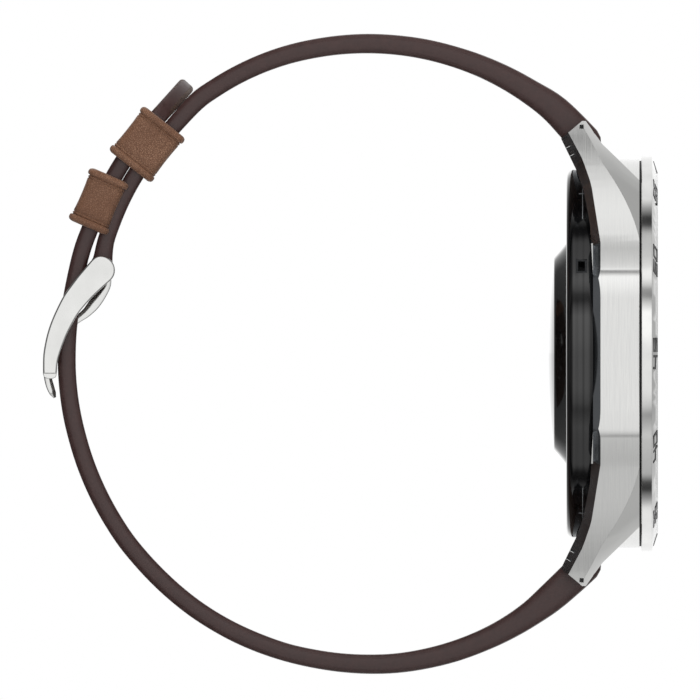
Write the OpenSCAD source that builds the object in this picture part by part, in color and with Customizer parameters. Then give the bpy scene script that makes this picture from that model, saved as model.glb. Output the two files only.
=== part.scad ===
// Round smartwatch on a buckled two-piece leather strap, every sub-part separate.
// Millimetres. +X out through the dial, +Z towards twelve, +Y towards three.
// The origin is the centre of the wrist opening, on the mid-plane of the case.

/* [What to show] */
// Sub-part to draw, or all of them

/* [Case] */
// Diameter over the bezel
case_diameter = 46; // [38:0.5:56]
// Height from the back cover's rear plane to the bezel's top edge
case_height = 10.65; // [8.8:0.05:13]
// Distance from the wrist centre to the back cover's rear plane
back_standoff = 29.52; // [24:0.1:36]
// Depth of the flats cut into the two sides of the case
flat_depth = 1.75; // [0.4:0.05:2.2]
// Height of the chamfered ring that carries the numerals
chamfer_height = 0.7; // [0.4:0.05:1.1]
// Height of the bezel's upright edge
flange_height = 1.24; // [0.8:0.02:1.6]
// Radius of the raised sensor window
sensor_radius = 10.8; // [8:0.1:13]

/* [Numerals] */
// Height of an engraved numeral along the chamfer
numeral_height = 1.5; // [1:0.05:1.8]
// Width of one digit
numeral_width = 1.66; // [1:0.02:2]
// Width of the engraved line
numeral_stroke = 0.28; // [0.15:0.01:0.4]

/* [Strap] */
// Height of the buckled loop over the strap's outer faces
loop_height = 74.3; // [60:0.5:90]
// Strap width between the lugs
strap_width = 22; // [18:0.5:27]
// Strap width at the buckle
buckle_width = 20; // [15:0.5:24]
// Leather thickness round most of the loop
strap_thickness = 2.2; // [1.6:0.1:2.7]
// Distance between neighbouring tongue holes
hole_pitch = 6; // [5:0.5:8]

/* [Keepers] */
// Length of a keeper along the strap
keeper_length = 6.65; // [5:0.05:8]
// Leather thickness of a keeper
keeper_wall = 0.7; // [0.5:0.05:1]

/* [Crown and button] */
// Radius of the crown
crown_radius = 2.4; // [1.8:0.05:2.45]
// Crown length outside the case
crown_length = 2.3; // [1.5:0.1:3.5]
// Angle of the crown above the three o'clock line
crown_angle = 30; // [20:1:40]
// Press travel of crown and button
press_travel = 0.4; // [0.2:0.05:0.5]
// Length of the flat button along the case edge
button_length = 7.8; // [5:0.1:9]

/* [Buckle] */
// Thickness of each buckle arm across the strap
arm_thickness = 1.5; // [1:0.1:2]
// Radius of the pivot bar
bar_radius = 0.6; // [0.5:0.05:0.8]
// Thickness of the tongue
tongue_thickness = 0.9; // [0.7:0.05:1.1]
// Width of the tongue
tongue_width = 1.9; // [1.4:0.1:2.2]

/* [Hidden] */

fine = 96;
small = 32;
// running clearance of a shaft in its hole, per side
fit = 0.04;

// case stations along X
rim_r = case_diameter / 2;
k = rim_r / 23;
flat_reach = rim_r - flat_depth;
back_x = back_standoff;
top_x = back_x + case_height;
cone_x = top_x - chamfer_height;
bezel_x = cone_x - flange_height;
groove = 0.21;
front_x = bezel_x - groove;
// the mid-frame takes the front half of the body, the back cover the rest
frame_x = back_x + (front_x - back_x) * 0.3635;
edge_x = frame_x + 0.87;
crown_x = (frame_x + front_x) / 2;
ring_r = rim_r - 0.4;
pan_r = rim_r - 1.6;
cavity_r = rim_r - 3.2;
cone_r = rim_r - 2.2;
glass_r = rim_r - 2.62;
floor_t = 0.78;
board_r = cavity_r - 3.3;
glass_x = cone_x - 0.67;
panel_x = front_x;
deck_x = front_x - 1.12;
board_x = deck_x - 0.9;
shield_x = board_x - 1.1;
cell_x = back_x + 1.6;
cell_t = shield_x - 0.2 - cell_x;

// lugs and spring bars
lug_gap = strap_width / 2 + 0.15;
lug_tip_y = strap_width / 2 + 2.4;
tip_z = 27.08 * k;
bar_x = back_x + 2.23;
bar_z = 24.7 * k;
bar_polar = atan2(bar_z, bar_x);
bar_reach = norm([bar_x, bar_z]);
lug_pin_r = 0.42;
tube_r = 0.8;
tube_half = strap_width / 2 - 0.3;
pin_reach = lug_gap + 0.95;

// loop of the strap: [polar angle, middle radius, thickness]
ls = loop_height / 74.3;
tk = strap_thickness / 2.2;
TOP = [[45, 40.05, 3.4], [50, 39.62, 2.95], [55, 39.2, 2.72], [60, 38.74, 2.55], [65, 38.24, 2.42], [70, 37.74, 2.35], [75, 37.2, 2.3], [80, 36.65, 2.27], [85, 36.07, 2.24], [90, 35.48, 2.22], [95, 34.9, 2.2], [100, 34.28, 2.18], [105, 33.64, 2.17], [110, 32.98, 2.17], [115, 32.3, 2.16]];
BOTTOM = [[-45, 39.75, 3.5], [-50, 39.52, 3.0], [-55, 39.2, 2.7], [-60, 38.8, 2.53], [-65, 38.36, 2.44], [-70, 37.87, 2.36], [-75, 37.34, 2.3], [-80, 36.74, 2.26], [-85, 36.13, 2.2], [-90, 35.52, 2.16], [-95, 34.95, 2.13], [-100, 34.36, 2.16], [-105, 33.8, 2.16], [-110, 33.24, 2.15], [-115, 32.7, 2.15], [-120, 32.16, 2.15], [-125, 31.65, 2.14], [-130, 31.2, 2.13], [-135, 30.8, 2.13], [-140, 30.38, 2.12], [-145, 30.01, 2.12], [-150, 29.68, 2.12], [-155, 29.39, 2.12], [-160, 29.15, 2.12], [-165, 28.98, 2.12], [-170, 28.84, 2.1], [-175, 28.74, 2.1], [-180, 28.67, 2.1], [-186, 28.68, 2.1], [-193, 28.8, 2.1]];

// the stretch under the keepers is an arc about its own centre
keep_x = 5.94 * ls;
keep_z = 4.34 * ls;
short_in = 30.3 * ls;
layer_t = 2.0 * tk;
short_mid = short_in + layer_t / 2;
tail_in = short_in + layer_t + 0.04;
tail_mid = tail_in + layer_t / 2;
tail_out = tail_in + layer_t;
TAIL = [[170, 0.46], [166, 0.34], [163, 0.19], [160, 0.08], [157, 0], [153, 0], [149, 0], [145, 0], [141, 0], [138, 0]];
tail_free = 6.5;
free_angle = 141.6;
fixed_angle = 156.6;
pivot_angle = 170.08;
pivot_x = keep_x + 31.11 * ls * cos(pivot_angle);
pivot_z = keep_z + 31.11 * ls * sin(pivot_angle);
buckle_half = buckle_width / 2;
arm_y = buckle_half + 0.25;
boss_r = 1.65;

// crown and button stations along their own radius
recess_s = rim_r - 0.7;
sleeve_r = 1.2;
shaft_r = 0.65;
wall_in = cavity_r - 0.15;
cap_s = recess_s + press_travel + 0.15;
stem_r = 0.9;
button_half = button_length / 2;
button_r = 1.3;

function polar(a, r) = [r * cos(a), r * sin(a)];
function local(a, r) = [keep_x + r * cos(a), keep_z + r * sin(a)];
// the loop leans over to meet the spring bar near the case
function lean(a) = max(0, min(1, (75 - abs(a)) / (75 - bar_polar)));
function loop_r(a, r) = r * ls + (bar_reach - 40.25 * ls) * lean(a);
function unit(v) = v / norm(v);
function along(p, i) = unit(p[min(i + 1, len(p) - 1)] - p[max(i - 1, 0)]);
function left(p, i) = [-along(p, i)[1], along(p, i)[0]];
function ribbon(p, h) = concat(
    [for (i = [0 : len(p) - 1]) p[i] + left(p, i) * h[i]],
    [for (i = [len(p) - 1 : -1 : 0]) p[i] - left(p, i) * h[i]]);

top_rows = [for (e = TOP) if (e[0] > bar_polar + 4) e];
low_rows = [for (e = BOTTOM) if (abs(e[0]) > bar_polar + 4) e];
// the short strap's end folds round the pivot bar
LOOP = [[-1.3, 1.15], [-0.5, 1.45], [0.4, 1.45], [1.05, 1.05], [1.4, 0.55]];
loop_way = [-sin(pivot_angle), cos(pivot_angle)];
// how a strap end is rounded past its bar: [distance past the bar, half thickness]
NOSE = [[1.65, 0.75], [1.35, 1.2], [0.85, 1.6], [0, 1.85]];
head_way = unit([bar_x, bar_z] - polar(top_rows[0][0], loop_r(top_rows[0][0], top_rows[0][1])));
SHORT_PATH = concat(
    [for (e = NOSE) [bar_x, bar_z] + head_way * e[0]],
    [for (e = top_rows) polar(e[0], loop_r(e[0], e[1]))],
    [for (a = [136 : 4 : 164]) local(a, short_mid)],
    [for (e = LOOP) [pivot_x, pivot_z] + loop_way * e[0]]);
SHORT_HALF = concat(
    [for (e = NOSE) e[1] * tk],
    [for (e = top_rows) e[2] / 2 * tk],
    [for (a = [136 : 4 : 164]) layer_t / 2],
    [for (e = LOOP) e[1]]);
TAIL_END = local(138, tail_mid) + [cos(48), sin(48)] * tail_free;
LONG_PATH = concat(
    [for (e = NOSE) [bar_x, -bar_z] + [head_way[0], -head_way[1]] * e[0]],
    [for (e = low_rows) polar(e[0], loop_r(e[0], e[1]))],
    [for (e = TAIL) local(e[0], tail_mid + e[1])],
    [TAIL_END]);
LONG_HALF = concat(
    [for (e = NOSE) e[1] * tk],
    [for (e = low_rows) e[2] / 2 * tk],
    [for (e = TAIL) layer_t / 2],
    [layer_t / 2]);

// a shape turned about the dial's axis, points given as [radius, X]
module turned(points) {
    rotate([0, 90, 0])
        rotate_extrude($fn = fine)
            polygon(points);
}

// a ring about the dial's axis
module ring(outer, inner, x0, x1) {
    turned([[inner, x0], [outer, x0], [outer, x1], [inner, x1]]);
}

// a flat outline in Y and Z, given depth along X
module facing(x0, x1) {
    translate([x0, 0, 0])
        rotate([90, 0, 90])
            linear_extrude(x1 - x0)
                children();
}

// a side outline in X and Z, given a width across Y
module sideways(y0, y1) {
    translate([0, y1, 0])
        rotate([90, 0, 0])
            linear_extrude(y1 - y0)
                children();
}

// local Z points out of the case edge at this angle above three o'clock
module on_radius(angle) {
    translate([crown_x, 0, 0])
        rotate([angle - 90, 0, 0])
            children();
}

module rod(r, s0, s1) {
    translate([0, 0, s0])
        cylinder(r = r, h = s1 - s0, $fn = small);
}

module block(x, y, z) {
    translate([x[0], y[0], z[0]])
        cube([x[1] - x[0], y[1] - y[0], z[1] - z[0]]);
}

module each_lug() {
    for (m = [0, 1])
        for (n = [0, 1])
            mirror([0, m, 0])
                mirror([0, 0, n])
                    children();
}

// ---- bezel and numerals
SEGMENTS = [
    [1, 1, 1, 1, 1, 1, 0], [0, 1, 1, 0, 0, 0, 0], [1, 1, 0, 1, 1, 0, 1], [1, 1, 1, 1, 0, 0, 1],
    [0, 1, 1, 0, 0, 1, 1], [1, 0, 1, 1, 0, 1, 1], [1, 0, 1, 1, 1, 1, 1]];
cone_tilt = atan2(chamfer_height, rim_r - cone_r);
engrave_depth = 0.12;
// share of the chamfer's slope, from its outer edge, where the numerals' middle sits
numeral_seat = 0.6;

module stroke(y0, y1, z0, z1) {
    block([-engrave_depth, 0.03], [y0, y1], [z0, z1]);
}

module digit(d) {
    w = numeral_width / 2;
    h = numeral_height / 2;
    t = numeral_stroke;
    on = SEGMENTS[d];
    if (on[0] == 1) stroke(-w, w, h - t, h);
    if (on[1] == 1) stroke(w - t, w, -t / 2, h);
    if (on[2] == 1) stroke(w - t, w, -h, t / 2);
    if (on[3] == 1) stroke(-w, w, -h, t - h);
    if (on[4] == 1) stroke(-w, t - w, -h, t / 2);
    if (on[5] == 1) stroke(-w, t - w, -t / 2, h);
    if (on[6] == 1) stroke(-w, w, -t / 2, t / 2);
}

module numerals() {
    pitch = numeral_width + 0.35;
    for (m = [5 : 5 : 60])
        rotate([-6 * m, 0, 0])
            translate([cone_x + chamfer_height * numeral_seat, 0, rim_r + (cone_r - rim_r) * numeral_seat])
                rotate([0, -cone_tilt, 0]) {
                    translate([0, -pitch / 2, 0])
                        digit(floor(m / 10));
                    translate([0, pitch / 2, 0])
                        digit(m % 10);
                }
}

module bezel() {
    color("silver")
        difference() {
            turned([[19.3 / 20.38 * glass_r, bezel_x], [rim_r - 0.08, bezel_x], [rim_r, bezel_x + 0.08], [rim_r, cone_x], [cone_r, top_x], [glass_r + 0.2, top_x], [glass_r + 0.2, glass_x - 0.02], [19.3 / 20.38 * glass_r, glass_x - 0.02]]);
            numerals();
        }
}

module bezel_numerals() {
    color("dimgray")
        numerals();
}

module cover_glass() {
    e = 0.15;
    color("lightgray")
        turned([[0, glass_x], [glass_r, glass_x], [glass_r, top_x - 0.12 - e], [glass_r - e, top_x - 0.12], [0, top_x - 0.12]]);
}

module glass_gasket() {
    color("black")
        ring(glass_r + 0.18, glass_r + 0.02, glass_x + 0.05, top_x - 0.25);
}

module bezel_gasket() {
    color("black")
        ring(ring_r - 0.15, cavity_r + 0.4, front_x, bezel_x);
}

module display_panel() {
    color("darkslategray")
        ring(18.9 * glass_r / 20.38, 0, panel_x, glass_x - 0.05);
}

module display_frame() {
    color("gray")
        difference() {
            ring(cavity_r - 0.2, 0, deck_x, panel_x - 0.12);
            block([deck_x - 1, panel_x], [-4.4, 4.4], [-16.9 * k, -14.9 * k]);
            ring(7 * k, 0, deck_x + 0.5, panel_x);
        }
}

// ---- mid-frame, lugs and their fittings
flank_z = 13 * k;
flank_y = sqrt(rim_r * rim_r - flank_z * flank_z);
flank_steps = 16;
// the lugs fall away in front as a cone, steep at first
steep = 1.15;
shallow = 0.78;
bend_r = 26.8 * k;
reach_r = 31 * k;
bend_x = front_x - steep * (bend_r - rim_r - 0.05);

// how far out a lug's side stands, from 1 at its root to 0 at its tip
lean_even = 0.6;
lean_power = 1.6;
function flank_lean(t) = lean_even * (1 - t) + (1 - lean_even) * pow(1 - t, lean_power);
// points along a lug's outer side, [Y, Z], and its rear edge's place along X
function flank(i) = [lug_tip_y + (flank_y - lug_tip_y) * flank_lean(i / flank_steps), flank_z + (tip_z + 0.2 - flank_z) * i / flank_steps];
function rear_edge(z) = lookup(z / k, [[12.9, edge_x], [19.7, edge_x - 1.08], [22.6, edge_x - 2.08], [25.6, edge_x - 3.68], [28, edge_x - 5]]);

// flat facets that break the rear edge of a lug's side
module lug_chamfers() {
    for (i = [0 : flank_steps - 1]) {
        a = flank(i);
        b = flank(i + 1);
        side = atan2(b[1] - a[1], b[0] - a[0]);
        run = norm(b - a);
        x0 = rear_edge(a[1]);
        x1 = rear_edge(b[1]);
        translate([x0, a[0], a[1]])
            rotate([side, 0, 0])
                rotate([0, 0, atan2(x0 - x1, run)])
                    rotate([0, -34.6, 0])
                        translate([-6, -0.06, 0])
                            cube([6, run + 0.12, 3]);
    }
}

// the flats blend into the round in a soft curve, [Y, Z] from the flat outwards
crease_z = sqrt(rim_r * rim_r - flat_reach * flat_reach);
blend_angle = asin((crease_z + 1.2) / rim_r);
BLEND = [[flat_reach, crease_z - 2.4],
    [flat_reach, (rim_r - flat_reach * cos(blend_angle)) / sin(blend_angle)],
    [rim_r * cos(blend_angle), rim_r * sin(blend_angle)]];
blend_steps = 8;
function blend(t) = (1 - t) * (1 - t) * BLEND[0] + 2 * t * (1 - t) * BLEND[1] + t * t * BLEND[2];

module flat_limit() {
    quarter = concat(
        [for (i = [0 : blend_steps]) blend(i / blend_steps)],
        [BLEND[2] + 8 * k * [-sin(blend_angle), cos(blend_angle)], [0, 2 * rim_r]]);
    for (m = [0, 1])
        mirror([m, 0])
            for (n = [0, 1])
                mirror([0, n])
                    polygon(concat([[-1, -1], [flat_reach, -1]], quarter, [[-1, 2 * rim_r]]));
}

module case_outline() {
    intersection() {
        union() {
            circle(r = ring_r, $fn = fine);
            intersection() {
                circle(r = rim_r, $fn = fine);
                square([4 * rim_r, 2 * flank_z], center = true);
            }
        }
        flat_limit();
    }
    for (m = [0, 1])
        for (n = [0, 1])
            mirror([m, 0])
                mirror([0, n])
                    polygon(concat(
                        [[lug_gap, 12 * k]],
                        [[flank_y, 12.9 * k]],
                        [for (i = [0 : flank_steps]) flank(i)],
                        [[lug_gap, tip_z + 0.2]]));
}

module lug_side() {
    half = [[frame_x, 9 * k], [frame_x - 0.35, 15 * k], [frame_x - 1.1, 19 * k], [frame_x - 2.01, 21.5 * k], [frame_x - 3.73, 25.03 * k], [frame_x - 1.27, tip_z]];
    polygon(concat(
        [[front_x, 0]],
        [[frame_x, 0]],
        half,
        [[frame_x + 0.15, tip_z]],
        [[front_x, tip_z]]));
}

module screw_places() {
    for (a = [22, -22, 158, -158])
        rotate([-a, 0, 0])
            translate([0, 0, cavity_r - 1.2])
                rotate([0, 90, 0])
                    children();
}

module port_cut(w, h, s0, s1) {
    translate([31.27 - 29.52 + back_x - crown_x, 0, 0])
        on_radius(151.5)
            translate([-w / 2, -h / 2, s0])
                cube([w, h, s1 - s0]);
}

module button_shape(r, s0, s1) {
    reach = button_half - button_r;
    for (m = [-1, 1])
        translate([0, m * reach, 0])
            rod(r, s0, s1);
    translate([-r, -reach, s0])
        cube([2 * r, 2 * reach, s1 - s0]);
}

module mid_frame() {
    color("silver")
        difference() {
            intersection() {
                facing(back_x - 2, front_x)
                    case_outline();
                union() {
                    sideways(-rim_r - 1, rim_r + 1)
                        lug_side();
                    sideways(-rim_r - 1, rim_r + 1)
                        mirror([0, 1])
                            lug_side();
                }
                turned([[0, back_x - 3], [reach_r, back_x - 3], [reach_r, bend_x - shallow * (reach_r - bend_r)], [bend_r, bend_x], [rim_r + 0.05, front_x], [0, front_x]]);
                sideways(-flat_reach, flat_reach)
                    square([200, 200], center = true);
            }
            ring(cavity_r, 0, back_x - 3, front_x + 1);
            ring(pan_r + 0.06, 0, back_x - 3, frame_x);
            // polished chamfer along the rear edge of ring and flats
            intersection() {
                turned([[rim_r - 0.6, frame_x - 0.01], [rim_r + 1, frame_x - 0.01], [rim_r + 1, edge_x], [rim_r, edge_x]]);
                block([back_x, front_x], [-rim_r, rim_r], [-flank_z, flank_z]);
            }
            each_lug()
                lug_chamfers();
            for (m = [-1, 1])
                translate([frame_x, m * (flat_reach - 0.6), 0])
                    rotate([0, 0, m * 34.6])
                        translate([-2, m == 1 ? 0 : -3, -8.8 * k])
                            cube([5, 3, 17.6 * k]);
            // bores for crown, button and microphone
            on_radius(crown_angle) {
                rod(sleeve_r + fit, cavity_r - 2, rim_r + 1);
                rod(crown_radius + 0.25, recess_s, rim_r + 3);
                rod(sleeve_r + 0.55, rim_r - 2.2, rim_r - 1.5);
            }
            on_radius(-crown_angle) {
                rod(stem_r + fit, cavity_r - 2, rim_r + 1);
                button_shape(button_r + 0.15, recess_s, rim_r + 3);
                rod(stem_r + 0.55, rim_r - 2.2, rim_r - 1.5);
            }
            on_radius(0)
                rod(0.35, cavity_r - 1, rim_r);
            // spring-bar holes and the small square sockets at the tips
            each_lug() {
                translate([bar_x, lug_gap - 1, bar_z])
                    rotate([-90, 0, 0])
                        rod(lug_pin_r + fit, 0, 2.1);
                block([frame_x - 1.6, frame_x - 1.05], [lug_tip_y - 0.6, lug_tip_y + 2], [tip_z - 0.95, tip_z - 0.4]);
            }
        }
    color("silver")
        screw_posts();
}

// threaded posts for the back screws, joined to the frame's inner wall
module screw_posts() {
    difference() {
        intersection() {
            screw_places()
                rod(1.6, frame_x + 0.05, edge_x + 1.6);
            ring(cavity_r + 0.3, 0, frame_x, front_x);
        }
        screw_places()
            rod(0.58, frame_x - 1, edge_x + 1);
    }
}

module lug_plugs() {
    color("black")
        each_lug()
            block([frame_x - 1.55, frame_x - 1.1], [lug_tip_y - 0.55, lug_tip_y - 0.15], [tip_z - 0.9, tip_z - 0.45]);
}

// ---- back cover and sensor
module back_cover() {
    color("black")
        difference() {
            union() {
                turned([[sensor_radius + 0.35, back_x], [pan_r - 0.7, back_x], [pan_r - 0.3, back_x + 0.1], [pan_r - 0.08, back_x + 0.35], [pan_r, back_x + 0.75], [pan_r, frame_x], [pan_r - 1.35, frame_x], [pan_r - 1.35, back_x + floor_t], [sensor_radius + 0.35, back_x + floor_t]]);
                screw_places()
                    rod(1.6, back_x + 0.1, frame_x);
            }
            ring(pan_r - 0.4, pan_r - 1.0, frame_x - 0.22, frame_x + 1);
            screw_places() {
                rod(0.66, back_x - 1, frame_x + 1);
                rod(1.2, back_x - 1, back_x + 0.7);
            }
            port_cut(1.3, 1.8, pan_r - 1.0, pan_r + 2);
            port_cut(0.8, 1.3, pan_r - 3, pan_r + 2);
        }
}

module back_gasket() {
    color("black")
        ring(pan_r - 0.42, pan_r - 0.98, frame_x - 0.2, frame_x);
}

module back_screws() {
    color("gainsboro")
        screw_places()
            difference() {
                union() {
                    rod(1.12, back_x + 0.05, back_x + 0.68);
                    rod(0.54, back_x + 0.5, edge_x + 0.7);
                }
                translate([0, 0, back_x])
                    cylinder(r = 0.5, h = 0.45, $fn = 6);
            }
}

module sensor_ring() {
    r = sensor_radius;
    color("black")
        turned([[r + 0.05, back_x - 1.42], [r + 0.25, back_x - 1.45], [r + 2.1, back_x - 0.02], [r + 2.1, back_x], [r + 0.05, back_x]]);
}

module sensor_lens() {
    r = sensor_radius;
    rise = 0.61;
    big = (r * r + rise * rise) / (2 * rise);
    cap = asin(r / big);
    color("dimgray")
        turned(concat(
            [[0, back_x - 0.05]],
            [for (i = [0 : 8]) [big * sin(cap * i / 8), back_x - 1.45 - rise + big * (1 - cos(cap * i / 8))]],
            [[r, back_x - 0.05]]));
}

module sensor_board() {
    color("darkgreen")
        ring(sensor_radius - 0.2, 0, back_x + floor_t + 0.05, back_x + floor_t + 0.45);
}

module sensor_lights() {
    color("gold") {
        for (a = [45 : 90 : 315])
            rotate([a, 0, 0])
                block([back_x + 0.1, back_x + floor_t + 0.04], [3.6, 6.2], [-1.3, 1.3]);
        block([back_x + 0.1, back_x + floor_t + 0.04], [-1.1, 1.1], [-1.1, 1.1]);
    }
}

module charge_coil() {
    color("peru")
        for (i = [0 : 3])
            ring(sensor_radius + 2.4 + i * 1.1, sensor_radius + 1.6 + i * 1.1, back_x + floor_t + 0.05, back_x + floor_t + 0.4);
}

// ---- inside the case
module battery() {
    color("slategray")
        facing(cell_x, cell_x + cell_t)
            difference() {
                translate([-9.5 * k, -14.5 * k])
                    square([22 * k, 29 * k]);
                for (z = [-1, 1])
                    translate([12.5 * k, z * 14.5 * k])
                        rotate(45)
                            square([2.4 * k, 2.4 * k], center = true);
            }
}

module main_board() {
    color("seagreen")
        difference() {
            ring(board_r, 0, board_x, deck_x - 0.1);
            block([board_x - 1, deck_x], [-4.4, 4.4], [-board_r - 1, -14.9 * k]);
            block([board_x - 1, deck_x], [11 * k, 20 * k], [-2, 2]);
        }
}

module board_shields() {
    color("lightsteelblue") {
        block([shield_x, board_x], [-10 * k, 1 * k], [1 * k, 11 * k]);
        block([shield_x, board_x], [-10 * k, -1 * k], [-11 * k, -1 * k]);
    }
}

module board_chips() {
    color("black") {
        block([shield_x + 0.2, board_x], [3 * k, 8 * k], [2 * k, 9 * k]);
        block([shield_x + 0.3, board_x], [1 * k, 5 * k], [-6 * k, -2 * k]);
        block([shield_x + 0.4, board_x], [6.5 * k, 9.5 * k], [-6 * k, -1 * k]);
    }
}

module antenna_ring() {
    color("gold")
        difference() {
            ring(cavity_r - 1.4, board_r + 0.7, deck_x - 0.25, deck_x - 0.05);
            block([deck_x - 1, deck_x + 1], [-4.6, 4.6], [-rim_r, 0]);
        }
}

module flex_cables() {
    color("darkorange") {
        block([board_x - 0.12, panel_x - 0.02], [-3.5, 3.5], [-15.5 * k, -15.38 * k]);
        block([cell_x - 0.25, cell_x - 0.13], [-3, 3], [-13 * k, 9 * k]);
        on_radius(crown_angle)
            translate([-1, -2, board_r + 0.1])
                cube([2, 4, 0.12]);
    }
}

module speaker() {
    color("dimgray")
        block([back_x + 1.2, board_x - 1.9], [-14.8 * k, -10 * k], [4.5 * k, 12.4 * k]);
}

module speaker_mesh() {
    color("darkgray")
        port_cut(1.8, 2.4, pan_r - 1.75, pan_r - 1.6);
}

module port_frame() {
    color("gray")
        difference() {
            port_cut(1.28, 1.78, pan_r - 0.98, pan_r - 0.1);
            port_cut(0.8, 1.3, pan_r - 2, pan_r + 1);
        }
}

module microphone() {
    color("silver")
        on_radius(0)
            translate([-1.1, -1.6, cavity_r - 1.6])
                cube([2.2, 3.2, 1.2]);
}

module haptic_motor() {
    color("silver")
        block([back_x + 1.3, board_x - 1.9], [-14.8 * k, -10 * k], [-12.4 * k, -2.5 * k]);
}

// ---- crown
module crown_cap() {
    color("silver")
        on_radius(crown_angle)
            difference() {
                union() {
                    rod(crown_radius - 0.2, cap_s, cap_s + 0.25);
                    rod(crown_radius, cap_s + 0.25, cap_s + crown_length - 0.35);
                    translate([0, 0, cap_s + crown_length - 0.35])
                        cylinder(r1 = crown_radius, r2 = crown_radius - 0.5, h = 0.35, $fn = small);
                }
                rod(shaft_r, cap_s - 1, cap_s + 1.2);
                for (a = [0 : 15 : 345])
                    rotate(a)
                        translate([crown_radius + 0.08, 0, cap_s + 0.35])
                            cylinder(r = 0.2, h = crown_length - 0.85, $fn = 6);
            }
}

module crown_shaft() {
    color("gainsboro")
        on_radius(crown_angle)
            difference() {
                rod(shaft_r, cavity_r - 2.1, cap_s + 1.2);
                difference() {
                    rod(shaft_r + 1, cavity_r - 1.25, cavity_r - 0.95);
                    rod(shaft_r - 0.2, cavity_r - 2, cavity_r);
                }
            }
}

module crown_clip() {
    color("gray")
        on_radius(crown_angle)
            difference() {
                rod(1.05, cavity_r - 1.23, cavity_r - 0.97);
                rod(shaft_r - 0.2, cavity_r - 2, cavity_r);
            }
}

module crown_sleeve() {
    color("darkgray")
        on_radius(crown_angle)
            difference() {
                union() {
                    rod(sleeve_r, wall_in - 0.6, cap_s - 0.05);
                    rod(sleeve_r + 0.3, wall_in - 0.6, wall_in - 0.15);
                }
                rod(shaft_r + fit, wall_in - 2, cap_s + 1);
            }
}

// two coned washers back to back
module cone_spring(r_in, r_out, s0, s1) {
    m = (s0 + s1) / 2;
    t = 0.12;
    rotate_extrude($fn = small)
        polygon([[r_in, m - t], [r_out, s0], [r_out, s0 + t], [r_in + 0.15, m], [r_out, s1 - t], [r_out, s1], [r_in, m + t]]);
}

module crown_spring() {
    color("silver")
        on_radius(crown_angle)
            cone_spring(sleeve_r + 0.12, crown_radius - 0.15, recess_s + 0.01, cap_s - 0.01);
}

module seal(r) {
    rotate_extrude($fn = small)
        polygon([[r + 0.06, rim_r - 2.1], [r + 0.5, rim_r - 2.1], [r + 0.5, rim_r - 1.6], [r + 0.06, rim_r - 1.6]]);
}

module crown_seal() {
    color("black")
        on_radius(crown_angle)
            seal(sleeve_r);
}

module crown_switch() {
    color("ivory")
        on_radius(crown_angle) {
            translate([-1.1, -1.7, board_r + 0.25])
                cube([2.2, 3.4, 0.55]);
            rod(0.45, board_r + 0.7, cavity_r - 2.1 - press_travel - 0.02);
        }
}

// ---- flat button
module button_cap() {
    color("silver")
        on_radius(-crown_angle)
            difference() {
                button_shape(button_r, cap_s, cap_s + 1);
                rod(stem_r, cap_s - 1, cap_s + 0.5);
            }
}

module button_stem() {
    color("gainsboro")
        on_radius(-crown_angle)
            difference() {
                rod(stem_r, cavity_r - 1.5, cap_s + 0.5);
                difference() {
                    rod(stem_r + 1, cavity_r - 0.85, cavity_r - 0.5);
                    rod(stem_r - 0.25, cavity_r - 2, cavity_r);
                }
            }
}

module button_clip() {
    color("gray")
        on_radius(-crown_angle)
            difference() {
                rod(1.4, cavity_r - 0.83, cavity_r - 0.52);
                rod(stem_r - 0.25, cavity_r - 2, cavity_r);
            }
}

module button_spring() {
    color("silver")
        on_radius(-crown_angle)
            cone_spring(stem_r + 0.12, button_r - 0.02, recess_s + 0.01, cap_s - 0.01);
}

module button_seal() {
    color("black")
        on_radius(-crown_angle)
            seal(stem_r);
}

module button_switch() {
    color("ivory")
        on_radius(-crown_angle) {
            translate([-1.1, -1.7, board_r + 0.25])
                cube([2.2, 3.4, 0.55]);
            rod(0.45, board_r + 0.7, cavity_r - 1.5 - press_travel - 0.02);
        }
}

// ---- spring bars, one at each end of the case
pin_in = tube_half - 4.6;
lever_y0 = tube_half - 3.0;
lever_y1 = tube_half - 1.4;
pin_travel = 1.1;

module at_bar(sign) {
    translate([bar_x, 0, sign * bar_z])
        children();
}

module bar_tubes() {
    color("lightgray")
        for (s = [-1, 1])
            at_bar(s)
                difference() {
                    union() {
                        rotate([-90, 0, 0])
                            rod(tube_r, -tube_half, tube_half);
                        rotate([-90, 0, 0])
                            rod(lug_pin_r, -pin_reach, -tube_half + 0.5);
                    }
                    rotate([-90, 0, 0])
                        rod(lug_pin_r + fit, 1 - tube_half, tube_half + 1);
                    slot(s, 0.76, lever_y0 - pin_travel - 0.15, lever_y1 + 0.1, 2);
                }
}

// a straight cut or tab from the bar's axis towards the wrist
module slot(sign, w, y0, y1, reach) {
    rotate([0, -sign * bar_polar, 0])
        translate([-reach, y0, -w / 2])
            cube([reach, y1 - y0, w]);
}

module bar_springs() {
    color("silver")
        for (s = [-1, 1])
            at_bar(s)
                rotate([-90, 0, 0])
                    rotate_extrude($fn = small)
                        polygon(concat(
                            [for (i = [0 : 24]) [i % 2 == 0 ? 0.4 : 0.3, 1.05 - tube_half + (pin_in - 0.1 + tube_half - 1.05) * i / 24]],
                            [for (i = [24 : -1 : 0]) [i % 2 == 0 ? 0.3 : 0.2, 1.05 - tube_half + (pin_in - 0.1 + tube_half - 1.05) * i / 24]]));
}

module bar_pin(sign) {
    at_bar(sign) {
        rotate([-90, 0, 0])
            rod(lug_pin_r, pin_in, pin_reach);
        slot(sign, 0.64, lever_y0, lever_y1, 2.1);
    }
}

module bar_pin_top() {
    color("gainsboro")
        bar_pin(1);
}

module bar_pin_bottom() {
    color("gainsboro")
        bar_pin(-1);
}

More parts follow.
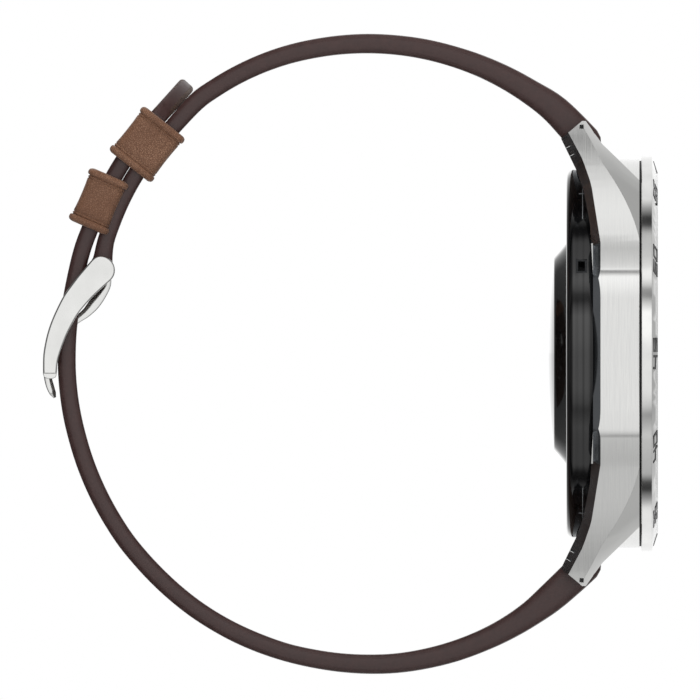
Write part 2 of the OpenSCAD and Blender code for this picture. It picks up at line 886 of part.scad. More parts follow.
// ---- strap
// plan outline that narrows from the lugs to the buckle
module taper() {
    a = strap_width / 2;
    b = buckle_half;
    far = -40 * ls;
    translate([0, 0, -60 * ls])
        linear_extrude(120 * ls)
            polygon([[bar_x + 4, -a], [bar_x + 4, a], [bar_x - 3, a], [-18 * ls, b], [far, b], [far, -b], [-18 * ls, -b], [bar_x - 3, -a]]);
}

module bar_hole(sign) {
    at_bar(sign) {
        rotate([-90, 0, 0])
            rod(tube_r + 0.1, -30, 30);
        slot(sign, 2, lever_y0 - pin_travel - 0.6, lever_y1 + 0.8, 4);
    }
}

// a keeper sits square to the strap, local X outwards from the arc's centre, local Z along the strap
module at_keeper(angle) {
    translate([keep_x, 0, keep_z])
        rotate([0, -angle, 0])
            children();
}

module strap_short() {
    color("saddlebrown")
        difference() {
            intersection() {
                sideways(-strap_width, strap_width)
                    polygon(ribbon(SHORT_PATH, SHORT_HALF));
                taper();
            }
            bar_hole(1);
            translate([pivot_x, 0, pivot_z])
                rotate([-90, 0, 0])
                    rod(bar_radius + 0.12, -30, 30);
            // slot for the tongue's curl
            translate([pivot_x, -1.3, pivot_z])
                rotate([0, 10, 0])
                    translate([-4, 0, -4])
                        cube([8, 2.6, 6.6]);
            at_keeper(fixed_angle)
                keeper_feet(0.04);
        }
}

module tongue_hole(angle, r) {
    at_strap(angle)
        rotate([0, 90, 0])
            cylinder(r = r, h = 8, center = true, $fn = small);
}

// a place on the strap's middle line in the buckle and lower left part of the loop
module at_strap(angle) {
    row = lookup(-angle, [for (e = BOTTOM) [-e[0], e[1]]]);
    rotate([0, -angle, 0])
        translate([row * ls, 0, 0])
            children();
}

hole_step = hole_pitch / (29.2 * ls) * 180 / PI;

module strap_long() {
    color("saddlebrown")
        difference() {
            intersection() {
                sideways(-strap_width, strap_width)
                    polygon(ribbon(LONG_PATH, LONG_HALF));
                taper();
                union() {
                    block([-200, 200], [-30, 30], [-200, TAIL_END[1] - 9 * ls]);
                    tail_plan();
                }
            }
            bar_hole(-1);
            // the hole in use is long, so the tongue can tilt in it
            for (d = [-2.2, -1.5, -0.8, -0.1, 0.5, 1])
                rotate([0, d / (28.8 * ls) * 180 / PI, 0])
                    tongue_hole(-187.2, 1.12);
            for (i = [1 : 3])
                tongue_hole(-187.2 + i * hole_step, 0.95);
            for (i = [2 : 3])
                at_keeper(187 - 4.6 - i * hole_step)
                    translate([tail_mid, 0, 0])
                        rotate([0, 90, 0])
                            cylinder(r = 0.95, h = 2.02 * layer_t, center = true, $fn = small);
        }
}

// rounded end of the long strap, seen square to its face
module tail_plan() {
    translate([TAIL_END[0], 0, TAIL_END[1]])
        rotate([0, 42, 0]) {
            translate([-10, 0, -buckle_half * 1.25])
                rotate([0, 90, 0])
                    cylinder(r = buckle_half * 1.25, h = 20, $fn = fine);
            translate([-10, -30, -40])
                cube([20, 60, 40 - buckle_half * 0.5]);
        }
}

// ---- keepers
foot_t = 0.4;

module keeper_feet(extra) {
    for (m = [0, 1])
        mirror([0, m, 0])
            block([short_in + 1.1 - extra, short_in + 1.1 + foot_t + extra], [buckle_half - 1.6 - extra, buckle_half + 0.2], [-keeper_length / 2 - extra, keeper_length / 2 + extra]);
}

module keeper_band(x0, x1, y, z) {
    block([x0, x1], [-y, y], [-z, z]);
}

module fixed_keeper() {
    side = buckle_half + 0.1;
    out = tail_out + 0.9 * ls;
    half = keeper_length / 2;
    color("peru")
        at_keeper(fixed_angle)
            difference() {
                union() {
                    keeper_band(short_in + 1.1, out + keeper_wall, side + keeper_wall, half - 0.02);
                    for (m = [-1, 1])
                        translate([0, 0, m * (half - 0.45)])
                            keeper_band(short_in + 1.1, out + keeper_wall + 0.25, side + keeper_wall + 0.25, 0.45);
                }
                keeper_band(short_in + 1.1 + foot_t, out, side, half + 1);
                keeper_band(short_in, short_in + 1.2 + foot_t, buckle_half - 1.6, half + 1);
            }
}

module free_keeper() {
    side = buckle_half + 0.25;
    half = keeper_length / 2;
    low = short_in * cos(6.6) - 0.14;
    out = tail_out + 0.16;
    color("peru")
        at_keeper(free_angle)
            difference() {
                union() {
                    keeper_band(low - keeper_wall, out + keeper_wall, side + keeper_wall, half - 0.02);
                    for (m = [-1, 1])
                        translate([0, 0, m * (half - 0.45)])
                            keeper_band(low - keeper_wall - 0.2, out + keeper_wall + 0.2, side + keeper_wall + 0.2, 0.45);
                }
                keeper_band(low, out, side, half + 1);
            }
}

// ---- buckle, drawn about its pivot
module at_pivot() {
    translate([pivot_x, 0, pivot_z])
        children();
}

ARM = [[-1.06, 1.2], [-2.6, -0.6], [-4.45, -3.16], [-5.5, -5.3], [-6.14, -7.03], [-6.5, -8.5], [-6.71, -9.85], [-6.73, -12.11], [-6.6, -12.5], [-6.2, -12.62], [-5.6, -12.62], [-5.25, -12.45], [-5.15, -12.0], [-4.94, -10.27], [-4.17, -8.02], [-3.4, -6.4], [-2.61, -5.05], [-1.5, -3.7], [-0.35, -2.52], [1.35, -1.0]];

module buckle_bar() {
    color("silver")
        at_pivot()
            rotate([-90, 0, 0])
                rod(bar_radius, 0.05 - arm_y - arm_thickness, arm_y + arm_thickness - 0.05);
}

module buckle_frame() {
    color("silver")
        at_pivot()
            difference() {
                union() {
                    for (m = [-1, 1])
                        sideways(min(m * arm_y, m * (arm_y + arm_thickness)), max(m * arm_y, m * (arm_y + arm_thickness))) {
                            polygon(ARM);
                            circle(r = boss_r, $fn = small);
                        }
                    sideways(-arm_y - 0.1, arm_y + 0.1)
                        polygon([[-6.6, -10.9], [-6.73, -11.3], [-6.73, -12.11], [-6.6, -12.5], [-6.2, -12.62], [-5.6, -12.62], [-5.25, -12.45], [-5.15, -12.0], [-5.1, -11.2], [-5.3, -10.8]]);
                }
                rotate([-90, 0, 0])
                    rod(bar_radius + fit, -30, 30);
                // rest for the tongue in the far bar
                block([-8, -5.68], [-tongue_width / 2 - 0.25, tongue_width / 2 + 0.25], [-13, -10.5]);
            }
}

TONGUE = [[0.9, -0.6], [0.75, -1.6], [0.18, -2.66], [-0.73, -3.86], [-1.6, -5.0], [-2.7, -5.7], [-3.8, -6.5], [-4.85, -7.7], [-5.6, -9.2], [-6.15, -10.9], [-6.2, -12.3], [-5.85, -13.7], [-5.35, -14.85]];
curl_r = 1.25;
// the tongue is thicker where it leans on the strap's lining
TONGUE_SWELL = [[2, 0.12], [3, 0.23]];

module buckle_tongue() {
    last = len(TONGUE) - 1;
    swell = concat([[0, 0], [1, 0]], TONGUE_SWELL, [[4, 0], [last, 0]]);
    half = [for (i = [0 : last]) i == last ? 0.25 : tongue_thickness / 2 + lookup(i, swell)];
    color("silver")
        at_pivot()
            difference() {
                union() {
                    sideways(-tongue_width / 2, tongue_width / 2)
                        polygon(ribbon(TONGUE, half));
                    rotate([-90, 0, 0])
                        rod(curl_r, -tongue_width / 2, tongue_width / 2);
                }
                rotate([-90, 0, 0])
                    rod(bar_radius + fit, -30, 30);
            }
}

bezel();
bezel_numerals();
cover_glass();
glass_gasket();
bezel_gasket();
display_panel();
display_frame();
mid_frame();
lug_plugs();
back_cover();
back_gasket();
back_screws();
sensor_ring();
sensor_lens();
sensor_board();
sensor_lights();
charge_coil();
battery();
main_board();
board_shields();
board_chips();
antenna_ring();
flex_cables();
speaker();
speaker_mesh();
port_frame();
microphone();
haptic_motor();
crown_cap();
crown_shaft();
crown_clip();
crown_sleeve();
crown_spring();
crown_seal();
crown_switch();
button_cap();
button_stem();
button_clip();
button_spring();
button_seal();
button_switch();
bar_tubes();
bar_springs();
bar_pin_top();
bar_pin_bottom();
strap_short();
strap_long();
fixed_keeper();
free_keeper();
buckle_bar();
buckle_frame();
buckle_tongue();
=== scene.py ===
import bpy, bmesh, math
from mathutils import Matrix, Vector


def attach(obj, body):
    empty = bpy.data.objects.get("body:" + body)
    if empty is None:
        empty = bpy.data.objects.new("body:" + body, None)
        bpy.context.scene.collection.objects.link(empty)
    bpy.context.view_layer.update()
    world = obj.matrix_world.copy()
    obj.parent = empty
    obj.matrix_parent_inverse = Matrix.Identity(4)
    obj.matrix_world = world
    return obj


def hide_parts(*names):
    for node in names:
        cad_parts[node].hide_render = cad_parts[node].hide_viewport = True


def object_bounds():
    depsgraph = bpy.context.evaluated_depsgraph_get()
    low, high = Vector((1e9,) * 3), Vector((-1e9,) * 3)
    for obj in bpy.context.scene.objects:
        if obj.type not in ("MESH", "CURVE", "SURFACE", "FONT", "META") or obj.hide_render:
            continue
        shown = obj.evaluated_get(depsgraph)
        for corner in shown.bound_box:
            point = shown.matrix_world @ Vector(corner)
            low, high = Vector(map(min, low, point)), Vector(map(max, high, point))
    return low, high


# Round smartwatch standing on the loop of its buckled leather strap.
# Metres, with lengths in the dictionaries in millimetres.

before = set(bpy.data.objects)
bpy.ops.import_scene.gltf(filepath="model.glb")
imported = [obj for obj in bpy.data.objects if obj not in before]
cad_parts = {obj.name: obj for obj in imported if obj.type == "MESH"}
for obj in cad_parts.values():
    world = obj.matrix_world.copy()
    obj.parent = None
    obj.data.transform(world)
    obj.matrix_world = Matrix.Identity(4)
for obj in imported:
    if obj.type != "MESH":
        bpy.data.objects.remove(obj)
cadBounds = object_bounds()
mm = 0.001
yAxis = Vector((0, 1, 0))
print("frame loaded:", len(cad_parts), "nodes")


# camera and studio

studio = dict(seen=81.52, middle=(4.309, 0.408), away=400, floorDrop=0.05, floorSize=3000)

view = bpy.data.cameras.new("sideView")
view.type = "ORTHO"
view.ortho_scale = studio["seen"] * mm
view.clip_start, view.clip_end = 0.01, 20
camera = bpy.data.objects.new("sideCamera", view)
camera.location = (studio["middle"][0] * mm, -studio["away"] * mm, studio["middle"][1] * mm)
camera.rotation_euler = (math.radians(90), 0, 0)
bpy.context.scene.collection.objects.link(camera)
bpy.context.scene.camera = camera
bpy.context.scene.view_settings.view_transform = "Standard"


def toLinear(hexText):
    # sRGB hex to linear colour
    parts = [int(hexText[i:i + 2], 16) / 255 for i in (1, 3, 5)]
    return [c / 12.92 if c <= 0.04045 else ((c + 0.055) / 1.055) ** 2.4 for c in parts] + [1.0]


def addNode(tree, kind, settings=None, **links):
    # settings are attributes or socket values, links are socket name = (node, output)
    node = tree.nodes.new(kind)
    for key, value in (settings or {}).items():
        if hasattr(node, str(key)):
            setattr(node, key, value)
        else:
            node.inputs[key].default_value = value
    for key, (source, output) in links.items():
        socket = node.inputs[int(key[1:])] if key[1:].isdigit() else node.inputs[key.replace("_", " ")]
        tree.links.new(source.outputs[output], socket)
    return node


def setRamp(node, stops):
    # stops are (position, linear colour)
    ramp = node.color_ramp
    while len(ramp.elements) > 1:
        ramp.elements.remove(ramp.elements[-1])
    for i, (place, colour) in enumerate(stops):
        stop = ramp.elements[0] if i == 0 else ramp.elements.new(place)
        stop.position = place
        stop.color = colour
    return node


def grey(value):
    return (value, value, value, 1)


# soft studio as the metal sees it: brightness by angle up from the camera side, in degrees
studioGlow = dict(
    upward=[(-180, 1.0), (-130, 1.15), (-103, 1.0), (-95, 0.45), (-87, 0.04), (-81, 0.08), (-75, 0.6), (-58, 0.66),
            (-52, 0.7), (-48, 0.78), (-42, 0.6), (-36, 0.42), (-31, 0.75), (-22, 1.02), (0, 1.02), (8, 1.2), (24, 1.35),
            (30, 0.75), (34, 0.3), (38, 0.42), (41, 0.85), (45, 1.15), (49, 1.25), (53, 0.9), (60, 0.78), (75, 0.62),
            (81, 0.07), (87, 0.04), (95, 0.45), (103, 1.0), (180, 1.1)],
    sideways=[(-1.0, 0.16), (-0.55, 0.14), (-0.28, 0.5), (-0.14, 1.0), (0.14, 1.0), (0.3, 0.8), (0.58, 0.45), (1.0, 0.5)],
    strength=1.0)

world = bpy.data.worlds.new("softStudio")
world.use_nodes = True
bpy.context.scene.world = world
tree = world.node_tree
tree.nodes.clear()
way = addNode(tree, "ShaderNodeTexCoord")
parts = addNode(tree, "ShaderNodeSeparateXYZ", _0=(way, "Generated"))
flip = tree.nodes.new("ShaderNodeMath")
flip.operation = "MULTIPLY"
flip.inputs[1].default_value = -1
tree.links.new(parts.outputs["Y"], flip.inputs[0])
angle = addNode(tree, "ShaderNodeMath", dict(operation="ARCTAN2"), _0=(parts, "Z"), _1=(flip, 0))
turn = addNode(tree, "ShaderNodeMapRange", {"From Min": -math.pi, "From Max": math.pi}, Value=(angle, 0))
upRamp = setRamp(addNode(tree, "ShaderNodeValToRGB", {}, Fac=(turn, 0)),
                 [((a + 180) / 360, grey(v / 2)) for a, v in studioGlow["upward"]])
side = addNode(tree, "ShaderNodeMapRange", {"From Min": -1.0, "From Max": 1.0}, Value=(parts, "X"))
sideRamp = setRamp(addNode(tree, "ShaderNodeValToRGB", {}, Fac=(side, 0)),
                   [((a + 1) / 2, grey(v)) for a, v in studioGlow["sideways"]])
both = addNode(tree, "ShaderNodeMix", dict(data_type="RGBA", blend_type="MULTIPLY"))
both.inputs[0].default_value = 1.0
tree.links.new(upRamp.outputs["Color"], both.inputs[6])
tree.links.new(sideRamp.outputs["Color"], both.inputs[7])
glow = addNode(tree, "ShaderNodeBackground", dict(Strength=2 * studioGlow["strength"]), Color=(both, 2))
plain = addNode(tree, "ShaderNodeBackground", dict(Color=grey(1.0), Strength=1.0))
seen = addNode(tree, "ShaderNodeLightPath")
pick = addNode(tree, "ShaderNodeMixShader", {}, _0=(seen, "Is Camera Ray"), _1=(glow, 0), _2=(plain, 0))
addNode(tree, "ShaderNodeOutputWorld", {}, Surface=(pick, 0))

softBoxes = [
    dict(name="overheadPanel", place=(0, -60, 260), aim=(0, 0, 0), size=(260, 120), watts=0.35),
    dict(name="frontPanel", place=(-60, -320, 90), aim=(0, 0, 0), size=(240, 240), watts=0.25),
    dict(name="backPanel", place=(-60, 300, 160), aim=(0, 0, 0), size=(240, 200), watts=0.3),
]
for box in softBoxes:
    lamp = bpy.data.lights.new(box["name"], "AREA")
    lamp.shape = "RECTANGLE"
    lamp.size, lamp.size_y = box["size"][0] * mm, box["size"][1] * mm
    lamp.energy = box["watts"]
    holder = bpy.data.objects.new(box["name"], lamp)
    place = Vector(box["place"]) * mm
    holder.location = place
    holder.rotation_euler = (Vector(box["aim"]) * mm - place).to_track_quat("-Z", "Y").to_euler()
    holder.visible_camera = False
    holder.visible_glossy = False  # the metal mirrors the studio glow only
    bpy.context.scene.collection.objects.link(holder)
print("camera and studio ready")


# mesh helpers

def makePiece(name, bm, body, materials, replaced=(), sharp=35):
    # turns a bmesh in millimetres into a finished piece that rides on a body
    bmesh.ops.scale(bm, vec=(mm, mm, mm), verts=bm.verts)
    for edge in bm.edges:
        edge.smooth = len(edge.link_faces) == 2 and edge.calc_face_angle(0) < math.radians(sharp)
    for face in bm.faces:
        face.smooth = True
    mesh = bpy.data.meshes.new(name)
    bm.to_mesh(mesh)
    bm.free()
    for material in materials:
        mesh.materials.append(material)
    piece = bpy.data.objects.new(name, mesh)
    bpy.context.scene.collection.objects.link(piece)
    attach(piece, body)
    if replaced:
        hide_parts(*replaced)
    return piece


def newVerts(found):
    return [g for g in found if isinstance(g, bmesh.types.BMVert)]


def ringEdges(verts):
    fresh = set(verts)
    return list({e for v in verts for e in v.link_edges if e.verts[0] in fresh and e.verts[1] in fresh})


def growSection(bm, section, places):
    # draws a closed section from place to place, and closes both ends
    verts = [bm.verts.new((u, v, 0)) for u, v in section]
    face = bm.faces.new(verts)
    bmesh.ops.transform(bm, matrix=places[0], verts=verts)
    edges = list(face.edges)
    for before, after in zip(places, places[1:]):
        grown = newVerts(bmesh.ops.extrude_edge_only(bm, edges=edges)["geom"])
        bmesh.ops.transform(bm, matrix=after @ before.inverted(), verts=grown)
        edges = ringEdges(grown)
    bmesh.ops.edgeloop_fill(bm, edges=edges)
    bmesh.ops.recalc_face_normals(bm, faces=bm.faces)


def smoothLine(points, step):
    # a smooth curve through (x, z, half thickness), as evenly spaced points
    line = []
    for i in range(len(points) - 1):
        p = [Vector(points[min(max(j, 0), len(points) - 1)]) for j in (i - 1, i, i + 1, i + 2)]
        parts = max(1, round((p[2] - p[1]).to_2d().length / step))
        for k in range(parts):
            t = k / parts
            line.append(0.5 * (2 * p[1] + (p[2] - p[0]) * t + (2 * p[0] - 5 * p[1] + 4 * p[2] - p[3]) * t * t
                               + (3 * p[1] - p[0] - 3 * p[2] + p[3]) * t ** 3))
    return line + [Vector(points[-1])]


def placesAlong(line, outward, halfWidth):
    # one matrix for each point: across the strap, out of the loop, along the strap
    places = []
    for i, p in enumerate(line):
        ahead = line[min(i + 1, len(line) - 1)] - line[max(i - 1, 0)]
        along = Vector((ahead.x, 0, ahead.y)).normalized()
        out = yAxis.cross(along) * outward
        places.append(Matrix.Translation((p.x, 0, p.y)) @ Matrix((
            (0, out.x * p.z, along.x, 0), (halfWidth(i), 0, 0, 0), (0, out.z * p.z, along.z, 0), (0, 0, 0, 1))))
    return places


def cutAway(piece, cutters):
    # takes cutter shapes out of a piece, and keeps the result as its mesh
    for bm in cutters:
        bmesh.ops.scale(bm, vec=(mm, mm, mm), verts=bm.verts)
        bmesh.ops.recalc_face_normals(bm, faces=bm.faces)
        mesh = bpy.data.meshes.new("cutter")
        bm.to_mesh(mesh)
        bm.free()
        for material in piece.data.materials:
            mesh.materials.append(material)
        tool = bpy.data.objects.new("cutter", mesh)
        bpy.context.scene.collection.objects.link(tool)
        cut = piece.modifiers.new("cut", "BOOLEAN")
        cut.operation, cut.solver, cut.object = "DIFFERENCE", "EXACT", tool
        bpy.context.view_layer.update()
        made = bpy.data.meshes.new_from_object(piece.evaluated_get(bpy.context.evaluated_depsgraph_get()))
        piece.modifiers.clear()
        made.name = piece.data.name + "Cut"
        piece.data = made
        bpy.data.objects.remove(tool)
    bm = bmesh.new()
    bm.from_mesh(piece.data)
    for edge in bm.edges:
        edge.smooth = len(edge.link_faces) == 2 and edge.calc_face_angle(0) < math.radians(35)
    for face in bm.faces:
        face.smooth = True
    bm.to_mesh(piece.data)
    bm.free()


def holeCutter(centre, direction, radius, stretch=0, depth=8, index=1):
    # a round or long hole through the leather; stretch lengthens it along the strap
    bm = bmesh.new()
    bmesh.ops.create_cone(bm, cap_ends=True, segments=32, radius1=radius, radius2=radius, depth=depth)
    bmesh.ops.rotate(bm, verts=bm.verts, matrix=Matrix.Rotation(math.radians(360 / 64), 3, "Z"))
    for sign in (-1, 1):
        bmesh.ops.translate(bm, vec=(sign * stretch, 0, 0), verts=[v for v in bm.verts if v.co.x * sign > 0])
    for face in bm.faces:
        face.material_index = index
    out = Vector(direction).normalized()
    along = yAxis.cross(out)
    bmesh.ops.transform(bm, verts=bm.verts, matrix=Matrix.Translation(centre) @ Matrix((
        (along.x, 0, out.x, 0), (0, 1, 0, 0), (along.z, 0, out.z, 0), (0, 0, 0, 1))))
    return bm


def boxCutter(low, high, place=None, index=1):
    bm = bmesh.new()
    bmesh.ops.create_cube(bm, size=1)
    low, high = Vector(low), Vector(high)
    bmesh.ops.scale(bm, vec=high - low, verts=bm.verts)
    bmesh.ops.translate(bm, vec=(high + low) / 2, verts=bm.verts)
    for face in bm.faces:
        face.material_index = index
    if place is not None:
        bmesh.ops.transform(bm, matrix=place, verts=bm.verts)
    return bm


def spinProfile(bm, profile, steps=128):
    # a closed profile of (x, radius) turned about the dial's axis
    verts = [bm.verts.new((x, 0, r)) for x, r in profile]
    edges = [bm.edges.new((a, b)) for a, b in zip(verts, verts[1:] + verts[:1])]
    bmesh.ops.spin(bm, geom=verts + edges, cent=(0, 0, 0), axis=(1, 0, 0), angle=math.tau, steps=steps, use_merge=True)
    bmesh.ops.remove_doubles(bm, verts=bm.verts, dist=1e-4)
    bmesh.ops.dissolve_degenerate(bm, dist=1e-5, edges=bm.edges)
    bmesh.ops.recalc_face_normals(bm, faces=bm.faces)


def areaNormals(piece, sharp):
    # large flat faces keep their own normal, and the small ones beside them bend to meet it
    bm = bmesh.new()
    bm.from_mesh(piece.data)
    limit = math.cos(math.radians(sharp))
    areas = [face.calc_area() for face in bm.faces]
    normals = []
    for face in bm.faces:
        for corner in face.loops:
            total = Vector()
            for other in corner.vert.link_faces:
                if other.normal.dot(face.normal) > limit:
                    total += other.normal * areas[other.index]
            normals.append(total.normalized())
    bm.free()
    piece.data.normals_split_custom_set(normals)


def mergedCopy(name, nodes, body, materials, replaced, sharp=30):
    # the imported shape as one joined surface, so that it can be shaded smooth
    bm = bmesh.new()
    for node in nodes:
        bm.from_mesh(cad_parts[node].data)
    bmesh.ops.remove_doubles(bm, verts=bm.verts, dist=2e-7)
    bmesh.ops.dissolve_degenerate(bm, dist=1e-7, edges=bm.edges)
    bmesh.ops.dissolve_limit(bm, angle_limit=math.radians(0.3), verts=bm.verts, edges=bm.edges)
    bmesh.ops.scale(bm, vec=(1 / mm, 1 / mm, 1 / mm), verts=bm.verts)
    piece = makePiece(name, bm, body, materials, replaced, sharp)
    areaNormals(piece, sharp)
    return piece


# materials

def startMaterial(name, **shader):
    material = bpy.data.materials.new(name)
    material.use_nodes = True
    tree = material.node_tree
    tree.nodes.clear()
    surface = addNode(tree, "ShaderNodeBsdfPrincipled", shader)
    addNode(tree, "ShaderNodeOutputMaterial", {}, Surface=(surface, 0))
    return material, tree, surface


def textured(name, low, high, rough, grain, bump=0.1, depth=0.02, **shader):
    # a base finish: colour and roughness that wander between two values, and a fine relief; grain is in mm
    material, tree, surface = startMaterial(name, **shader)
    place = addNode(tree, "ShaderNodeTexCoord")
    noise = addNode(tree, "ShaderNodeTexNoise", dict(Scale=1 / (grain * mm), Detail=4), Vector=(place, "Object"))
    tint = setRamp(addNode(tree, "ShaderNodeValToRGB", {}, Fac=(noise, 0)),
                   [(0.3, toLinear(low)), (0.7, toLinear(high))])
    shine = addNode(tree, "ShaderNodeMapRange",
                    {"From Min": 0.3, "From Max": 0.7, "To Min": rough[0], "To Max": rough[1]}, Value=(noise, 0))
    relief = addNode(tree, "ShaderNodeBump", dict(Strength=bump, Distance=depth * mm), Height=(noise, 0))
    tree.links.new(tint.outputs[0], surface.inputs["Base Color"])
    tree.links.new(shine.outputs[0], surface.inputs["Roughness"])
    tree.links.new(relief.outputs[0], surface.inputs["Normal"])
    return material


def leather(name, dark, light, crease, poreSize, rough):
    # full-grain calf: pebbled cells with creases between them, and darker tone where dye gathered
    material, tree, surface = startMaterial(
        name, **{"Specular IOR Level": 0.42, "Sheen Weight": 0.12, "Sheen Roughness": 0.5})
    place = addNode(tree, "ShaderNodeTexCoord")
    waver = addNode(tree, "ShaderNodeTexNoise", dict(Scale=1 / (1.4 * mm), Detail=3), Vector=(place, "Object"))
    shift = addNode(tree, "ShaderNodeMix", dict(data_type="VECTOR"))
    shift.inputs[0].default_value = 0.00035
    tree.links.new(place.outputs["Object"], shift.inputs[4])
    tree.links.new(waver.outputs["Color"], shift.inputs[5])
    cells = addNode(tree, "ShaderNodeTexVoronoi", dict(feature="DISTANCE_TO_EDGE", Scale=1 / (poreSize * mm)),
                    Vector=(shift, 1))
    pores = addNode(tree, "ShaderNodeMapRange", {"From Max": 0.22}, Value=(cells, "Distance"))
    blotch = addNode(tree, "ShaderNodeTexNoise", dict(Scale=1 / (4.5 * mm), Detail=6, Roughness=0.62),
                     Vector=(place, "Object"))
    tone = setRamp(addNode(tree, "ShaderNodeValToRGB", {}, Fac=(blotch, 0)),
                   [(0.32, toLinear(dark)), (0.68, toLinear(light))])
    lined = addNode(tree, "ShaderNodeMix", dict(data_type="RGBA"))
    lined.inputs[6].default_value = toLinear(crease)
    tree.links.new(pores.outputs[0], lined.inputs[0])
    tree.links.new(tone.outputs[0], lined.inputs[7])
    shine = addNode(tree, "ShaderNodeMapRange", {"To Min": rough[1], "To Max": rough[0]}, Value=(pores, 0))
    fine = addNode(tree, "ShaderNodeTexNoise", dict(Scale=1 / (0.12 * mm), Detail=3), Vector=(place, "Object"))
    fineRelief = addNode(tree, "ShaderNodeBump", dict(Strength=0.25, Distance=0.02 * mm), Height=(fine, 0))
    relief = addNode(tree, "ShaderNodeBump", dict(Strength=0.55, Distance=0.05 * mm), Height=(pores, 0),
                     Normal=(fineRelief, 0))
    tree.links.new(lined.outputs[2], surface.inputs["Base Color"])
    tree.links.new(shine.outputs[0], surface.inputs["Roughness"])
    tree.links.new(relief.outputs[0], surface.inputs["Normal"])
    return material


# brushed strokes in mm; faces turned further along X than flatBelow to flatAbove are polished
brushing = dict(strokeLong=4, bump=0.08, polishedRough=0.09, flatBelow=0.3, flatAbove=0.4, edgeRadius=0.05)


def steel(name, light, dark, rough, lineWidth=None):
    # 316L stainless steel; brushed in fine lines round the case where lineWidth is given, else polished
    material, tree, surface = startMaterial(name, Metallic=1.0)
    place = addNode(tree, "ShaderNodeTexCoord")
    rounding = addNode(tree, "ShaderNodeBevel", dict(samples=4, Radius=brushing["edgeRadius"] * mm))
    if lineWidth:
        # real strokes are about half as wide, and are drawn coarser so that they show
        slow = lineWidth / brushing["strokeLong"]
        mapped = addNode(tree, "ShaderNodeMapping", dict(Scale=(1, slow, slow)), Vector=(place, "Object"))
        strokes = addNode(tree, "ShaderNodeTexNoise", dict(Scale=1 / (lineWidth * mm), Detail=5, Roughness=0.7),
                          Vector=(mapped, 0))
        facing = addNode(tree, "ShaderNodeNewGeometry")
        axes = addNode(tree, "ShaderNodeSeparateXYZ", {}, _0=(facing, "True Normal"))
        tilt = addNode(tree, "ShaderNodeMath", dict(operation="ABSOLUTE"), _0=(axes, "X"))
        limits = {"From Min": brushing["flatBelow"], "From Max": brushing["flatAbove"], "To Min": 1.0, "To Max": 0.0}
        flat = addNode(tree, "ShaderNodeMapRange", limits, Value=(tilt, 0))
        lineTone = setRamp(addNode(tree, "ShaderNodeValToRGB", {}, Fac=(strokes, 0)),
                           [(0.3, toLinear(dark)), (0.66, toLinear(light))])
        tone = addNode(tree, "ShaderNodeMix", dict(data_type="RGBA"), _0=(flat, 0), _7=(lineTone, 0))
        tone.inputs[6].default_value = toLinear(light)
        wander = addNode(tree, "ShaderNodeMapRange",
                         {"From Min": 0.3, "From Max": 0.7, "To Min": rough[0], "To Max": rough[1]}, Value=(strokes, 0))
        shine = addNode(tree, "ShaderNodeMix", {}, _0=(flat, 0), _3=(wander, 0))
        shine.inputs[2].default_value = brushing["polishedRough"]
        strength = addNode(tree, "ShaderNodeMath", dict(operation="MULTIPLY"), _0=(flat, 0))
        strength.inputs[1].default_value = brushing["bump"]
        relief = addNode(tree, "ShaderNodeBump", dict(Distance=0.006 * mm), Strength=(strength, 0), Height=(strokes, 0),
                         Normal=(rounding, 0))
        tree.links.new(tone.outputs[2], surface.inputs["Base Color"])
        tree.links.new(shine.outputs[0], surface.inputs["Roughness"])
    else:
        haze = addNode(tree, "ShaderNodeTexNoise", dict(Scale=1 / (3.0 * mm), Detail=5), Vector=(place, "Object"))
        tone = setRamp(addNode(tree, "ShaderNodeValToRGB", {}, Fac=(haze, 0)),
                       [(0.3, toLinear(dark)), (0.7, toLinear(light))])
        shine = addNode(tree, "ShaderNodeMapRange",
                        {"From Min": 0.3, "From Max": 0.7, "To Min": rough[0], "To Max": rough[1]}, Value=(haze, 0))
        micro = addNode(tree, "ShaderNodeTexNoise", dict(Scale=1 / (0.25 * mm), Detail=2), Vector=(place, "Object"))
        relief = addNode(tree, "ShaderNodeBump", dict(Strength=0.03, Distance=0.004 * mm), Height=(micro, 0),
                         Normal=(rounding, 0))
        tree.links.new(tone.outputs[0], surface.inputs["Base Color"])
        tree.links.new(shine.outputs[0], surface.inputs["Roughness"])
    tree.links.new(relief.outputs[0], surface.inputs["Normal"])
    return material


# brushed round the case: fine lines break up the reflections, and faces turned forward or back stay plain
brushedSteel = steel("brushed stainless steel", "#dfdfdd", "#d3d3d2", (0.13, 0.2), lineWidth=0.08)
# ground and left satin beside the brushing; its colour is painted shade, darker than the frame's, with a cool tint that
# offsets the brown of the strap these faces mirror
chamferSteelPaintedShade = steel("chamfer steel with painted shade", "#b4b8bd", "#a6aaaf", (0.2, 0.3))
# buffed: clear reflections with a faint haze
polishedSteel = steel("polished stainless steel", "#e6e6e4", "#dcdcda", (0.06, 0.12))
# turned and polished: bright and dark bands that follow its curve
bezelSteel = steel("polished bezel steel", "#e2e2e0", "#d4d4d3", (0.07, 0.12))
# blasted with fine beads: an even grey with broad soft highlights
plainSteel = textured("bead-blasted steel", "#8f9092", "#a9aaab", (0.3, 0.45), 0.08, Metallic=1.0)
# moulded, with a clear coat: deep black and glossy
backGloss = textured("black ceramic-filled polymer", "#060607", "#0a0a0b", (0.06, 0.11), 2.5, 0.02,
                     **{"Coat Weight": 0.6, "Coat Roughness": 0.04, "Specular IOR Level": 0.5})
# ground and polished: near black, with sharp reflections
domeGlass = textured("dark mineral glass", "#08080a", "#0c0c0e", (0.03, 0.06), 3.0, 0.0,
                     **{"Coat Weight": 0.4, "Coat Roughness": 0.03})
# polished clear: seen only by its reflections
clearGlass = textured("sapphire-hard cover glass", "#f4f6f7", "#fbfcfc", (0.0, 0.012), 6.0, 0.0,
                      **{"Transmission Weight": 1.0, "IOR": 1.52})
